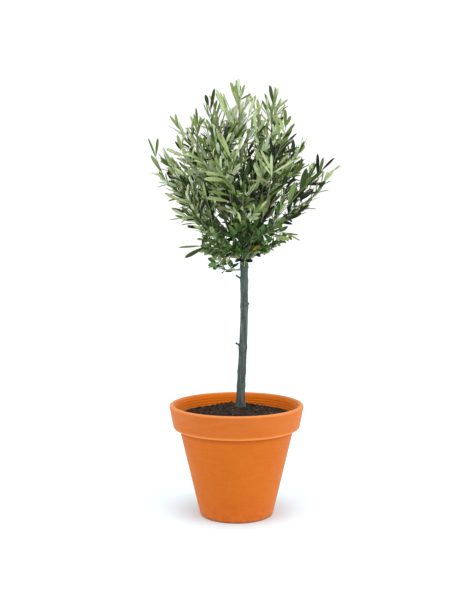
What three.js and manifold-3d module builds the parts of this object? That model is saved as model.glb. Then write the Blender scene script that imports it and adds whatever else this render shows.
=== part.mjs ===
// A young olive tree grown as a standard: one bare trunk with a round open head of narrow leaves,
// in a flat-sided terracotta pot with a deep collar. Millimetres, +Z up. The origin is the centre
// of the pot's flat underside, +X is to the right and -Y is the front.
//
// The head is shared out by direction from one point in the fork, the hub. Each mass of foliage
// keeps to the cone of directions nearest its own axis, so that no two masses can touch. A bough
// carries each of the upper masses, and the lowest grow straight from the trunk.
import * as THREE from 'three';
import { mergeVertices } from 'three/addons/utils/BufferGeometryUtils.js';
import Module from 'manifold-3d';

const wasm = await Module();
wasm.setup();

// Driving dimensions
const GAP = 0.3;                 // between pieces that rest on or grow out of each other

const POT = {
  height: 241, rimRadius: 145, baseRadius: 79, wall: 9, floor: 12,
  collarHeight: 52, collarFootRadius: 137, bodyTopRadius: 123.7,
  lip: 11, edge: 3, segments: 48,
};

const SOIL = {
  belowRim: 27, moundRise: 19, moundRadius: 34, moundShares: [0.75, 0.5, 0.25], segments: 24,
};

// The trunk's axis and radius at heights above the soil
const TRUNK_STATIONS = [
  { up: 0, x: 8.4, y: 0, r: 12.6 },
  { up: 8, x: 8.5, y: 0.1, r: 10.6 },
  { up: 26, x: 9.0, y: 0.5, r: 9.3 },
  { up: 110, x: 12.8, y: 1.6, r: 8.7 },
  { up: 190, x: 16.2, y: 0.4, r: 8.2 },
  { up: 260, x: 16.4, y: -1.0, r: 8.0 },
  { up: 318, x: 16.4, y: 0, r: 8.3 },
  { up: 362, x: 17.0, y: 0.2, r: 6.4 },
];
const TRUNK_SIDES = 10;
const TRUNK_STEPS = 26;
// Old pruning scars: a swelling on the trunk, and a cut stub where one is left
const SCARS = [
  { up: 46, swell: 0.7 },
  { up: 78, swell: 0.9 },
  { up: 129, swell: 1.3, azimuth: 184, stub: 9 },
  { up: 218, swell: 1.0, azimuth: 350, stub: 4 },
  { up: 258, swell: 0.8 },
  { up: 273, swell: 1.1, azimuth: 190, stub: 13 },
  { up: 304, swell: 0.9 },
];
const SCAR_SPREAD = 7;
const STUB = { radius: 2.3, sides: 6, lift: 34 };

// The head is a ball whose centre stands above the hub, in the fork
const HUB_UP = 336;              // above the soil
const CROWN = { radius: 190, rise: 175 };
const BARE_REACH = 22;           // no leaf stands nearer the hub than this

const BOUGH = { sides: 6, steps: 4, tipRadius: 2.4, taper: 0.8, forkShare: 0.8, rise: 14, bend: 0.45 };
const STEM = {
  sides: 3, steps: 3, rootRadius: 2.4, tipRadius: 1.2, bend: 0.4, trunkBend: 0.5, rise: 10,
};
// Twigs start along the middle part of the stem and are the shorter the nearer they stand to its
// tip; lengths are shares of the stem's own, with a length added
const TWIG = {
  sides: 3, steps: 2, rootRadius: 1.8, tipRadius: 1.1, bend: 0.5, upturn: 0.45,
  firstShare: 0.08, shareSpan: 0.76, scatter: 0.6, opening: 46, openingSpread: 16,
  lengthAtRoot: 0.735, shortening: 0.42, lengthAdded: 14, leastLength: 12, cut: 0.88,
};

// Leaves are larger than life and fewer, so that the head is as full as the real one
const LEAVES = {
  lance: { length: 54, width: 15.5, thickness: 1.7, spacing: 41, opening: 36, twigSpacing: 37 },
  oval: { length: 34, width: 16, thickness: 1.6, spacing: 38, opening: 48, twigSpacing: 36 },
};

// How far from its root a shoot bears its first leaves
const FIRST_LEAVES = { twig: 14, boughStem: 24, trunkStem: 36 };
const LEAF_SPREAD = { opening: 12, turn: 0.3 };
const END_LEAF = { share: 0.97, opening: 6 };
const SPINE_SHARES = [0.3, 0.6, 1];

const WELD = 1e-3;               // vertices nearer than this are one
const CURVE_TOLERANCE = 1e-6;
const CELL_MARGIN = 0.6;         // from a mass to the plane that divides it from its neighbour
const LIMB_MARGIN = 2.5;         // from a leaf or a twig to a limb
const GOLDEN_ANGLE = 137.5;

// The masses of foliage. Azimuth is from +X towards +Y and lift from the horizontal, in degrees;
// reach is from the hub to the furthest tip. A mass on a bough gives how far from the hub the
// bough's tip lies. What leaves the trunk gives its height above the soil, up, and a bough there
// its radius at the root. A bough that forks from another mass's bough gives that one and where
// along it, as a share of its length.
const MASSES = [
  { name: 'top', azimuth: 250, lift: 84, reach: 368, bough: 130, root: 5.9, up: 362 },
  { name: 'top_right', azimuth: 12, lift: 78, reach: 360, bough: 145, from: 'top', at: 0.5 },
  { name: 'top_left', azimuth: 146, lift: 76, reach: 348, bough: 138, from: 'top', at: 0.3 },

  { name: 'upper_right', azimuth: 3, lift: 61, reach: 282, bough: 116, root: 5.4, tip: 4.4, up: 346 },
  { name: 'upper_back_right', azimuth: 58, lift: 58, reach: 300, bough: 90, root: 4.4, up: 333 },
  { name: 'upper_back_left', azimuth: 128, lift: 56, reach: 300, bough: 88, root: 4.6, up: 346 },
  { name: 'upper_left', azimuth: 186, lift: 62, reach: 330, bough: 104, root: 4.8, up: 333 },
  { name: 'upper_front_left', azimuth: 244, lift: 59, reach: 300, bough: 84, root: 4.4, up: 347 },
  { name: 'upper_front_right', azimuth: 303, lift: 58, reach: 296, bough: 88, root: 4.7, up: 333 },

  { name: 'right', azimuth: 354, lift: 42, reach: 276, bough: 76, from: 'upper_right', at: 0.3 },
  { name: 'back_right', azimuth: 40, lift: 37, reach: 236, bough: 62, from: 'upper_back_right', at: 0.32 },
  { name: 'back', azimuth: 88, lift: 38, reach: 240, bough: 60, root: 3.6, up: 320 },
  { name: 'back_left', azimuth: 136, lift: 36, reach: 236, bough: 62, from: 'upper_back_left', at: 0.3 },
  { name: 'left', azimuth: 182, lift: 43, reach: 304, bough: 78, from: 'upper_left', at: 0.3 },
  { name: 'front_left', azimuth: 222, lift: 37, reach: 240, bough: 58, from: 'upper_front_left', at: 0.32 },
  { name: 'front', azimuth: 268, lift: 37, reach: 236, bough: 56, root: 3.6, up: 320 },
  { name: 'front_right', azimuth: 314, lift: 36, reach: 236, bough: 58,
    from: 'upper_front_right', at: 0.34 },

  { name: 'low_right', azimuth: 2, lift: 18, reach: 132, leaf: 'oval', up: 318 },
  { name: 'low_back_right', azimuth: 62, lift: 15, reach: 128, leaf: 'oval', up: 312 },
  { name: 'low_back_left', azimuth: 121, lift: 16, reach: 128, leaf: 'oval', up: 315 },
  { name: 'low_left', azimuth: 178, lift: 8, reach: 150, leaf: 'oval', up: 318 },
  { name: 'low_front_left', azimuth: 236, lift: 15, reach: 128, leaf: 'oval', up: 313 },
  { name: 'low_front_right', azimuth: 302, lift: 16, reach: 124, leaf: 'oval', up: 310 },
  { name: 'hanging_left', azimuth: 200, lift: -26, reach: 92, leaf: 'oval', up: 300 },
];

const COLOURS = {
  terracotta: { color: 0xd9702c, roughness: 0.8 },
  soil: { color: 0x2b211b, roughness: 0.95 },
  bark: { color: 0x6f6f60, roughness: 0.85 },
  lance: { color: 0x7f9468, roughness: 0.6 },
  oval: { color: 0x48703a, roughness: 0.55 },
};

// Small helpers
const radians = THREE.MathUtils.degToRad;
const lerp = THREE.MathUtils.lerp;

function directionOf({ azimuth, lift }) {
  const level = Math.cos(radians(lift));
  return new THREE.Vector3(
    level * Math.cos(radians(azimuth)), level * Math.sin(radians(azimuth)), Math.sin(radians(lift)));
}

// Numbers from 0 to 1 that are the same on every run
function seededRandom(seed) {
  let state = (seed * 7919 + 12345) % 4294967296;
  return () => {
    state = (state * 1664525 + 1013904223) % 4294967296;
    return state / 4294967296;
  };
}

function material(name) {
  return new THREE.MeshStandardMaterial({ ...COLOURS[name], metalness: 0 });
}

// Closed meshes to solids and back, for joining and cutting
function solidOf(geometry) {
  const bare = new THREE.BufferGeometry().setAttribute('position', geometry.getAttribute('position'));
  if (geometry.index) bare.setIndex(geometry.index);
  const merged = mergeVertices(bare, WELD);
  return new wasm.Manifold(new wasm.Mesh({
    numProp: 3,
    vertProperties: new Float32Array(merged.getAttribute('position').array),
    triVerts: new Uint32Array(merged.index.array),
  }));
}

function geometryOf(solid) {
  const mesh = solid.getMesh();
  const geometry = new THREE.BufferGeometry();
  geometry.setAttribute('position', new THREE.BufferAttribute(new Float32Array(mesh.vertProperties), 3));
  geometry.setIndex(new THREE.BufferAttribute(new Uint32Array(mesh.triVerts), 1));
  geometry.computeVertexNormals();
  return geometry;
}

// The largest body, without the scraps that a cut or a join leaves beside it
function largestBody(solid) {
  return solid.decompose().reduce((best, body) => (body.volume() > best.volume() ? body : best));
}

function unionOf(solids) {
  return wasm.Manifold.union(solids);
}

// A tapering limb: rings of equal sides round a curve, with flat ends
function limbGeometry(curve, radiusAt, sides, steps) {
  const frames = curve.computeFrenetFrames(steps, false);
  const positions = [];
  for (let i = 0; i <= steps; i += 1) {
    const share = i / steps;
    const centre = curve.getPointAt(share);
    for (let k = 0; k < sides; k += 1) {
      const turn = (2 * Math.PI * k) / sides;
      const radius = radiusAt(share, centre);
      const point = centre.clone()
        .addScaledVector(frames.normals[i], radius * Math.cos(turn))
        .addScaledVector(frames.binormals[i], radius * Math.sin(turn));
      positions.push(point.x, point.y, point.z);
    }
  }
  const faces = [];
  for (let i = 0; i < steps; i += 1) {
    for (let k = 0; k < sides; k += 1) {
      const here = i * sides + k;
      const next = i * sides + ((k + 1) % sides);
      faces.push(here, next, next + sides, here, next + sides, here + sides);
    }
  }
  for (let k = 1; k < sides - 1; k += 1) {
    const end = steps * sides;
    faces.push(0, k + 1, k, end, end + k, end + k + 1);
  }
  const geometry = new THREE.BufferGeometry();
  geometry.setAttribute('position', new THREE.Float32BufferAttribute(positions, 3));
  geometry.setIndex(faces);
  return geometry;
}

// The pot: one turned profile, thick in the collar and rounded at the lip
const soilEdgeZ = POT.height - SOIL.belowRim;
const collarFootZ = POT.height - POT.collarHeight;
const bodySlope = (POT.bodyTopRadius - POT.baseRadius) / collarFootZ;

function innerRadiusAt(z) {
  const bodyInner = POT.baseRadius - POT.wall + bodySlope * z;
  const collarInner = POT.rimRadius - POT.lip - bodySlope * (POT.height - z);
  const blend = THREE.MathUtils.smoothstep(z, collarFootZ, soilEdgeZ);
  return lerp(bodyInner, collarInner, blend);
}

// Heights at which the inner wall turns, from the floor to the soil's edge
const innerHeights = [POT.floor, collarFootZ, soilEdgeZ];

function arcPoints(centreR, centreZ, radius, from, to, count) {
  return Array.from({ length: count + 1 }, (_, i) => {
    const turn = radians(lerp(from, to, i / count));
    return new THREE.Vector2(centreR + radius * Math.cos(turn), centreZ + radius * Math.sin(turn));
  });
}

function potGeometry() {
  const { edge, height, rimRadius, lip, baseRadius, bodyTopRadius, collarFootRadius } = POT;
  const lipRound = lip / 2;
  const profile = [
    new THREE.Vector2(0, 0),
    new THREE.Vector2(baseRadius - edge, 0),
    new THREE.Vector2(baseRadius, edge),
    new THREE.Vector2(bodyTopRadius, collarFootZ),
    ...arcPoints(collarFootRadius - 2 * edge, collarFootZ + 2 * edge, 2 * edge, -90, 0, 2),
    ...arcPoints(rimRadius - lipRound, height - lipRound, lipRound, 0, 180, 6),
    ...innerHeights.toReversed().map((z) => new THREE.Vector2(innerRadiusAt(z), z)),
    new THREE.Vector2(0, POT.floor),
  ];
  return uprightLathe(profile, POT.segments);
}

// LatheGeometry turns its profile round Y; the object stands along Z
function uprightLathe(profile, segments) {
  return new THREE.LatheGeometry(profile, segments).rotateX(Math.PI / 2);
}

const soilTopZ = soilEdgeZ + SOIL.moundRise;

function soilGeometry() {
  const edgeRadius = innerRadiusAt(soilEdgeZ) - GAP;
  const mound = SOIL.moundShares.map((share) => new THREE.Vector2(
    lerp(SOIL.moundRadius, edgeRadius, share),
    soilEdgeZ + SOIL.moundRise * (0.5 + 0.5 * Math.cos(Math.PI * share))));
  const profile = [
    new THREE.Vector2(0, POT.floor + GAP),
    ...innerHeights.map((z, i) => new THREE.Vector2(innerRadiusAt(z) - GAP, i ? z : z + GAP)),
    ...mound,
    new THREE.Vector2(SOIL.moundRadius, soilTopZ),
    new THREE.Vector2(0, soilTopZ),
  ];
  return uprightLathe(profile, SOIL.segments);
}

// The trunk: its flat cut rests on the soil, and its tip carries the topmost bough
const trunkFootZ = soilTopZ + GAP;

const trunkCurve = new THREE.CatmullRomCurve3(
  TRUNK_STATIONS.map(({ up, x, y }) => new THREE.Vector3(x, y, trunkFootZ + up)));

const trunkTipUp = TRUNK_STATIONS.at(-1).up;

function trunkRadiusAt(z) {
  const up = Math.min(z - trunkFootZ, trunkTipUp);
  const next = Math.max(1, TRUNK_STATIONS.findIndex((station) => station.up >= up));
  const [low, high] = [TRUNK_STATIONS[next - 1], TRUNK_STATIONS[next]];
  return lerp(low.r, high.r, THREE.MathUtils.clamp((up - low.up) / (high.up - low.up), 0, 1));
}

function scarSwelling(z) {
  return SCARS.reduce((sum, { up, swell }) => {
    const away = (z - trunkFootZ - up) / SCAR_SPREAD;
    return sum + swell * Math.exp(-away * away);
  }, 0);
}

function trunkPointAtUp(up) {
  let [low, high] = [0, 1];
  while (high - low > CURVE_TOLERANCE) {
    const middle = (low + high) / 2;
    if (trunkCurve.getPointAt(middle).z < trunkFootZ + up) low = middle;
    else high = middle;
  }
  return trunkCurve.getPointAt(low);
}

// The curve ends a little off the vertical, so the foot is trimmed level with the soil
function trunkSolid(grow) {
  const radiusAt = (share, centre) => trunkRadiusAt(centre.z) + scarSwelling(centre.z) + grow;
  const bare = solidOf(limbGeometry(trunkCurve, radiusAt, TRUNK_SIDES, TRUNK_STEPS));
  const tall = POT.height + trunkTipUp;
  const aboveFoot = new THREE.BoxGeometry(POT.rimRadius, POT.rimRadius, tall);
  return bare.intersect(solidOf(aboveFoot.translate(0, 0, trunkFootZ + tall / 2)));
}

function stubSolid({ up, azimuth, stub }, grow) {
  const root = trunkPointAtUp(up);
  const outward = directionOf({ azimuth, lift: STUB.lift });
  const tip = root.clone().addScaledVector(outward, trunkRadiusAt(root.z) + stub + grow);
  return solidOf(limbGeometry(new THREE.LineCurve3(root, tip), () => STUB.radius + grow, STUB.sides, 1));
}

// The trunk with its stubs, grown all over by the clearance that its neighbours keep
function trunkWithStubs(grow) {
  const stubs = SCARS.filter((scar) => scar.stub).map((scar) => stubSolid(scar, grow));
  return unionOf([trunkSolid(grow), ...stubs]);
}

const hub = trunkPointAtUp(HUB_UP);

// Boughs
const massNamed = new Map(MASSES.map((mass) => [mass.name, mass]));
MASSES.forEach((mass) => { mass.axis = directionOf(mass); });

const boughCurves = new Map();

// The topmost bough goes on from the trunk's tip. The others leave the trunk nearer the level
// than their masses lie and bend up towards them, and a fork leaves its parent bough halfway
// between that bough's run and its own.
function boughCurve(mass) {
  if (boughCurves.has(mass.name)) return boughCurves.get(mass.name);
  const end = hub.clone().addScaledVector(mass.axis, mass.bough);
  let start;
  let leave;
  if (mass.from) {
    const parent = boughCurve(massNamed.get(mass.from));
    start = parent.getPointAt(mass.at);
    leave = parent.getTangentAt(mass.at).add(end.clone().sub(start).normalize()).normalize();
  } else if (mass.up < trunkTipUp) {
    start = trunkPointAtUp(mass.up);
    leave = directionOf({ azimuth: mass.azimuth, lift: mass.lift - BOUGH.rise });
  } else {
    leave = trunkCurve.getTangentAt(1);
    start = trunkCurve.getPointAt(1).addScaledVector(leave, GAP);
  }
  const bend = start.clone().addScaledVector(leave, BOUGH.bend * start.distanceTo(end));
  const curve = new THREE.QuadraticBezierCurve3(start, bend, end);
  boughCurves.set(mass.name, curve);
  return curve;
}

function boughRadiusAt(mass, share) {
  const root = mass.root ?? BOUGH.forkShare * boughRadiusAt(massNamed.get(mass.from), mass.at);
  return lerp(root, mass.tip ?? BOUGH.tipRadius, share ** BOUGH.taper);
}

function taperedSolid(curve, rootRadius, { tipRadius, sides, steps }) {
  return solidOf(limbGeometry(curve, (share) => lerp(rootRadius, tipRadius, share), sides, steps));
}

function rawBough(mass, grow) {
  const geometry = limbGeometry(
    boughCurve(mass), (share) => boughRadiusAt(mass, share) + grow, BOUGH.sides, BOUGH.steps);
  return solidOf(geometry);
}

function boughSolid(mass, trunkSpace) {
  const parent = mass.from ? rawBough(massNamed.get(mass.from), GAP) : trunkSpace;
  return largestBody(rawBough(mass, 0).subtract(parent));
}

// Spaces of the masses
function crownReach(rise) {
  const level = CROWN.rise ** 2 * (1 - rise * rise);
  return CROWN.rise * rise + Math.sqrt(CROWN.radius ** 2 - level);
}

// Inside the ball's surface, drawn out or in by the mass's own reach, and nearest to its own axis
function insideSpace(mass, point) {
  const out = point.clone().sub(hub);
  const distance = out.length();
  const reach = (mass.reach * crownReach(out.z / distance)) / crownReach(mass.axis.z);
  if (distance < BARE_REACH || distance > reach) return false;
  return MASSES.every((other) => {
    if (other === mass) return true;
    const across = mass.axis.clone().sub(other.axis).normalize();
    return out.dot(across) > CELL_MARGIN;
  });
}

// Points along the trunk and the boughs that leaves and twigs stay clear of
const boughed = MASSES.filter((mass) => mass.bough);
const LIMB_SAMPLES = 24;
const limbPoints = Array.from({ length: LIMB_SAMPLES + 1 }, (_, i) => {
  const share = i / LIMB_SAMPLES;
  const onTrunk = trunkCurve.getPointAt(share);
  return [
    { at: onTrunk, radius: trunkRadiusAt(onTrunk.z) },
    ...boughed.map((mass) => ({
      at: boughCurve(mass).getPointAt(share), radius: boughRadiusAt(mass, share), mass,
    })),
  ];
}).flat();

function clearOfLimbs(points, thickness, own) {
  return limbPoints.every(({ at, radius, mass }) => (own && mass === own)
    || points.every((point) => point.distanceTo(at) > radius + thickness + LIMB_MARGIN));
}

// A leaf: an eight-faced blade from its root, sunk in the twig, to its tip
function leafFrame(root, along, facing, kind) {
  const { length, width } = LEAVES[kind];
  const across = new THREE.Vector3().crossVectors(facing, along).normalize();
  const normal = new THREE.Vector3().crossVectors(along, across).normalize();
  const onAxis = (share) => root.clone().addScaledVector(along, share * length);
  const middle = onAxis(0.5);
  const edges = [-0.5, 0.5].map((side) => middle.clone().addScaledVector(across, side * width));
  return { along, across, normal, middle, outline: [onAxis(1), ...edges], spine: SPINE_SHARES.map(onAxis) };
}

function leafSolid({ along, across, normal, middle }, kind) {
  const { length, width, thickness } = LEAVES[kind];
  const place = new THREE.Matrix4().makeBasis(
    along.clone().multiplyScalar(length / 2),
    across.clone().multiplyScalar(width / 2),
    normal.clone().multiplyScalar(thickness / 2),
  ).setPosition(middle);
  return solidOf(new THREE.OctahedronGeometry(1).applyMatrix4(place));
}

// A direction that leaves an axis at an angle, turned about it from the side that faces up
function leaving(axis, turn, opening) {
  const side = new THREE.Vector3(0, 0, 1).cross(axis).normalize().applyAxisAngle(axis, turn);
  return axis.clone().multiplyScalar(Math.cos(opening)).addScaledVector(side, Math.sin(opening));
}

// A leaf or a twig that would leave its space is turned, or folded nearer to the shoot, until it
// fits, and otherwise left out
const TRIES = [[0, 1], [0, 0.6], [90, 1], [90, 0.6], [45, 0.8], [0, 0.3]];

function firstThatFits(turn, opening, make) {
  for (const [quarter, fold] of TRIES) {
    const made = make(turn + radians(quarter), radians(opening * fold));
    if (made) return made;
  }
  return null;
}

// Opposite pairs of leaves along a shoot, each pair a quarter turn from the last, and one at its tip
function leavesOn(shoot, mass, random, first) {
  const kind = mass.leaf ?? 'lance';
  const { spacing, opening, width } = LEAVES[kind];
  const length = shoot.getLength();
  const solids = [];
  const add = (share, around, spread) => {
    const tangent = shoot.getTangentAt(share);
    const found = firstThatFits(around, spread, (turn, angle) => {
      const facing = leaving(tangent, turn, angle - Math.PI / 2);
      const frame = leafFrame(shoot.getPointAt(share), leaving(tangent, turn, angle), facing, kind);
      const fits = frame.outline.every((corner) => insideSpace(mass, corner))
        && clearOfLimbs(frame.spine, width / 3, null);
      return fits ? frame : null;
    });
    if (found) solids.push(leafSolid(found, kind));
  };
  let around = random() * Math.PI;
  for (let run = first; run < length - spacing / 3; run += spacing) {
    for (const flip of [0, Math.PI]) {
      add(run / length, around + flip, opening + LEAF_SPREAD.opening * (random() - 0.5));
    }
    around += Math.PI / 2 + LEAF_SPREAD.turn * (random() - 0.5);
  }
  add(END_LEAF.share, around, END_LEAF.opening);
  return solids;
}

// The mass's stem goes on from its bough, or leaves the trunk, and ends a leaf short of the reach
function stemCurve(mass) {
  const end = hub.clone().addScaledVector(mass.axis, mass.reach - LEAVES[mass.leaf ?? 'lance'].length);
  if (mass.bough) {
    const bough = boughCurve(mass);
    const onward = bough.getTangentAt(1);
    const start = bough.getPointAt(1).addScaledVector(onward, GAP);
    const bend = start.clone().addScaledVector(onward, STEM.bend * start.distanceTo(end));
    return new THREE.QuadraticBezierCurve3(start, bend, end);
  }
  const start = trunkPointAtUp(mass.up);
  const rising = directionOf({ azimuth: mass.azimuth, lift: mass.lift + STEM.rise });
  const bend = start.clone().addScaledVector(rising, STEM.trunkBend * start.distanceTo(end));
  return new THREE.QuadraticBezierCurve3(start, bend, end);
}

// A side twig, shortened until it and its end leaf fit the mass's space
function twigCurve(mass, root, heading, length) {
  const leafLength = LEAVES[mass.leaf ?? 'lance'].length;
  for (let fit = length; fit > TWIG.leastLength; fit *= TWIG.cut) {
    const bend = root.clone().addScaledVector(heading, fit * TWIG.bend);
    const turned = heading.clone().addScaledVector(mass.axis, TWIG.upturn).normalize();
    const tip = bend.clone().addScaledVector(turned, fit * (1 - TWIG.bend));
    const curve = new THREE.QuadraticBezierCurve3(root, bend, tip);
    const leafTip = tip.clone().addScaledVector(curve.getTangentAt(1), leafLength);
    const inside = [bend, tip, leafTip].every((point) => insideSpace(mass, point));
    if (inside && clearOfLimbs(curve.getPoints(5).slice(1), TWIG.rootRadius, mass)) return curve;
  }
  return null;
}

function foliageSolid(mass, index, trunkSpace) {
  const random = seededRandom(index + 1);
  const stem = stemCurve(mass);
  const stemLength = stem.getLength();
  const twigCount = Math.max(2, Math.round(stemLength / LEAVES[mass.leaf ?? 'lance'].twigSpacing));
  const rootRadius = mass.bough ? BOUGH.tipRadius : STEM.rootRadius;
  const solids = [taperedSolid(stem, rootRadius, STEM)];
  for (let k = 0; k < twigCount; k += 1) {
    const share = TWIG.firstShare + (TWIG.shareSpan * (k + random() * TWIG.scatter)) / twigCount;
    const opening = TWIG.opening + TWIG.openingSpread * (random() - 0.5);
    const length = (TWIG.lengthAtRoot - TWIG.shortening * share) * stemLength + TWIG.lengthAdded;
    const twig = firstThatFits(radians(GOLDEN_ANGLE * (k + index)), opening, (turn, angle) => twigCurve(
      mass, stem.getPointAt(share), leaving(stem.getTangentAt(share), turn, angle), length));
    if (!twig) continue;
    solids.push(taperedSolid(twig, TWIG.rootRadius, TWIG));
    solids.push(...leavesOn(twig, mass, random, FIRST_LEAVES.twig));
  }
  const firstOnStem = mass.bough ? FIRST_LEAVES.boughStem : FIRST_LEAVES.trunkStem;
  solids.push(...leavesOn(stem, mass, random, firstOnStem));
  const joined = unionOf(solids);
  return largestBody(solidOf(geometryOf(mass.bough ? joined : joined.subtract(trunkSpace))));
}

// The whole object
function buildPart() {
  const group = new THREE.Group();
  const add = (name, geometry, colour) => {
    const mesh = new THREE.Mesh(geometry, material(colour));
    mesh.name = name;
    group.add(mesh);
  };
  add('pot', potGeometry(), 'terracotta');
  add('soil', soilGeometry(), 'soil');

  const trunkSpace = trunkWithStubs(GAP);
  add('trunk', geometryOf(trunkWithStubs(0)), 'bark');

  boughed.forEach((mass) => add(`bough_${mass.name}`, geometryOf(boughSolid(mass, trunkSpace)), 'bark'));
  MASSES.forEach((mass, index) => {
    const solid = foliageSolid(mass, index, trunkSpace);
    add(`foliage_${mass.name}`, geometryOf(solid), mass.leaf ?? 'lance');
  });
  return group;
}

export default buildPart();
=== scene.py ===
# %% [markdown]
# A potted olive tree, grown as a standard: one bare trunk, a round open head of narrow leaves, and
# a tapered terracotta pot with a deep collar. This lesson dresses a imported model of it. The plant
# and the pot are made the way the real ones are: the pot is turned, the trunk and boughs are one
# skin of bark, and every twig and leaf grows from the limb that carries it by a seeded rule.

# %% Load the model
import itertools
import math

import bpy
import numpy as np
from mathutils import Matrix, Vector, noise


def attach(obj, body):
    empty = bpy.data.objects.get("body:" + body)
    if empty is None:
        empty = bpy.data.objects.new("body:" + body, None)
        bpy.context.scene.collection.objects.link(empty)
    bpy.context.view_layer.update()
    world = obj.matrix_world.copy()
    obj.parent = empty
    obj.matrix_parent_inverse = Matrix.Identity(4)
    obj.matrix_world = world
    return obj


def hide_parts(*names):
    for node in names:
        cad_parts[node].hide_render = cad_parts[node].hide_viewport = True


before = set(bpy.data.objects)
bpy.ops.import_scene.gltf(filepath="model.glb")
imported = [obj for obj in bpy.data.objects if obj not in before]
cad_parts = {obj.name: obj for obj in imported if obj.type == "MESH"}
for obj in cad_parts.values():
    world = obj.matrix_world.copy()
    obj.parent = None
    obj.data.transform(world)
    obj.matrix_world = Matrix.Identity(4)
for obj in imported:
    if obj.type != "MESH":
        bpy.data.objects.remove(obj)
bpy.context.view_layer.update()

# %% [markdown]
# Sizes are easiest to read in millimetres, because that is how a grower would measure a leaf.
# Blender works in metres, so each mesh is multiplied by MM once, when it is made. The random
# numbers come from a small counter with a seed, so the same tree grows on every run.

# %% Units, numbers and directions
MM = 0.001


def seeded_random(seed):
    """A function that gives numbers from 0 to 1, the same ones on every run."""
    state = (seed * 7919 + 12345) % 4294967296

    def draw():
        nonlocal state
        state = (state * 1664525 + 1013904223) % 4294967296
        return state / 4294967296

    return draw


def direction_of(azimuth, lift):
    """Azimuth is from +X towards +Y and lift from the horizontal, in degrees."""
    turn, rise = math.radians(azimuth), math.radians(lift)
    level = math.cos(rise)
    return np.array([level * math.cos(turn), level * math.sin(turn), math.sin(rise)])


def unit(vectors):
    return vectors / np.linalg.norm(vectors, axis=-1, keepdims=True)


def lerp(low, high, share):
    return low + (high - low) * share


def turned_about(vector, axis, angle):
    """The vector turned about a unit axis."""
    along = axis * np.dot(axis, vector)
    return along + (vector - along) * math.cos(angle) + np.cross(axis, vector) * math.sin(angle)


print("units: millimetres, made metres by", MM)

# %% [markdown]
# A joined mesh of thousands of leaves is slow to make through operators, but quick from arrays:
# Blender takes all the points and all the corners in one call each. Every face here is a triangle
# or a quad given as rows of point numbers, and each row can name the material slot it is painted
# with. The edges where a leaf's two sides meet are marked sharp, so that each side shades alone.

# %% Meshes from arrays
def mesh_from_arrays(name, points, faces, materials, face_slots=None, sharp=None, smooth=True):
    """A mesh object in metres from points in millimetres. sharp flags points on a sharp margin."""
    mesh = bpy.data.meshes.new(name)
    faces = np.asarray(faces, dtype=np.int32)
    count, corners = faces.shape
    mesh.vertices.add(len(points))
    mesh.vertices.foreach_set("co", (np.asarray(points, dtype=np.float32) * MM).ravel())
    mesh.loops.add(count * corners)
    mesh.loops.foreach_set("vertex_index", faces.ravel())
    mesh.polygons.add(count)
    mesh.polygons.foreach_set("loop_start", np.arange(0, count * corners, corners, dtype=np.int32))
    if face_slots is not None:
        mesh.polygons.foreach_set("material_index", np.asarray(face_slots, dtype=np.int32))
    mesh.update(calc_edges=True)
    mesh.validate()
    mesh.polygons.foreach_set("use_smooth", np.full(len(mesh.polygons), smooth))
    if sharp is not None:
        ends = np.zeros(len(mesh.edges) * 2, dtype=np.int32)
        mesh.edges.foreach_get("vertices", ends)
        margin = np.asarray(sharp)[ends].reshape(-1, 2)
        along_margin = (margin[:, 0] > 0) & (margin[:, 0] == margin[:, 1])
        attribute = mesh.attributes.new("sharp_edge", "BOOLEAN", "EDGE")
        attribute.data.foreach_set("value", along_margin)
    for material in materials:
        mesh.materials.append(material)
    piece = bpy.data.objects.new(name, mesh)
    bpy.context.scene.collection.objects.link(piece)
    return piece


def dress(piece, slot, *nodes):
    """Seats a finished piece on the plant's one body, in place of the solids it stands for."""
    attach(piece, "root")
    if nodes:
        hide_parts(*nodes)
    print(piece.name, len(piece.data.polygons), "faces")


def wall_faces(rings, sides):
    """Triangles between rings of points that follow each other."""
    ring, step = np.meshgrid(np.arange(rings - 1), np.arange(sides), indexing="ij")
    here = (ring * sides + step).ravel()
    after = (ring * sides + (step + 1) % sides).ravel()
    return np.vstack([np.stack([here, after, after + sides], 1),
                      np.stack([here, after + sides, here + sides], 1)])


def turned_mesh(name, profile, segments, materials, shift):
    """A closed form turned round the upright axis. The profile runs from axis to axis."""
    profile = np.asarray(profile, dtype=float)
    rings = profile[1:-1]
    turns = np.arange(segments) * 2 * math.pi / segments
    radius, height = rings[:, :1], rings[:, 1:]
    points = np.stack([radius * np.cos(turns), radius * np.sin(turns), height + 0 * turns], axis=-1)
    points = shift(points).reshape(-1, 3)
    step = np.arange(segments)
    after = (step + 1) % segments
    low, high, last = len(points), len(points) + 1, (len(rings) - 1) * segments
    faces = np.vstack([
        wall_faces(len(rings), segments),
        np.stack([np.full(segments, low), after, step], 1),
        np.stack([np.full(segments, high), last + step, last + after], 1),
    ])
    centres = [[0, 0, profile[0, 1]], [0, 0, profile[-1, 1]]]
    return mesh_from_arrays(name, np.vstack([points, centres]), faces, materials)


# %% [markdown]
# Colours are given as screen colours from 0 to 255, and a shader wants linear light, so
# one helper turns them round. Each material is a node tree. Effects that several of them share are
# node groups, built once with named sockets: the patchy mottling of clay, bark and earth, and the
# fine grain that breaks up a highlight on clay, bark, twigs and leaves.

# %% Colours and shared shader groups
def linear(red, green, blue):
    """A screen colour as linear light."""
    channels = [value / 255 for value in (red, green, blue)]
    return [c / 12.92 if c <= 0.04045 else ((c + 0.055) / 1.055) ** 2.4 for c in channels]


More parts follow.
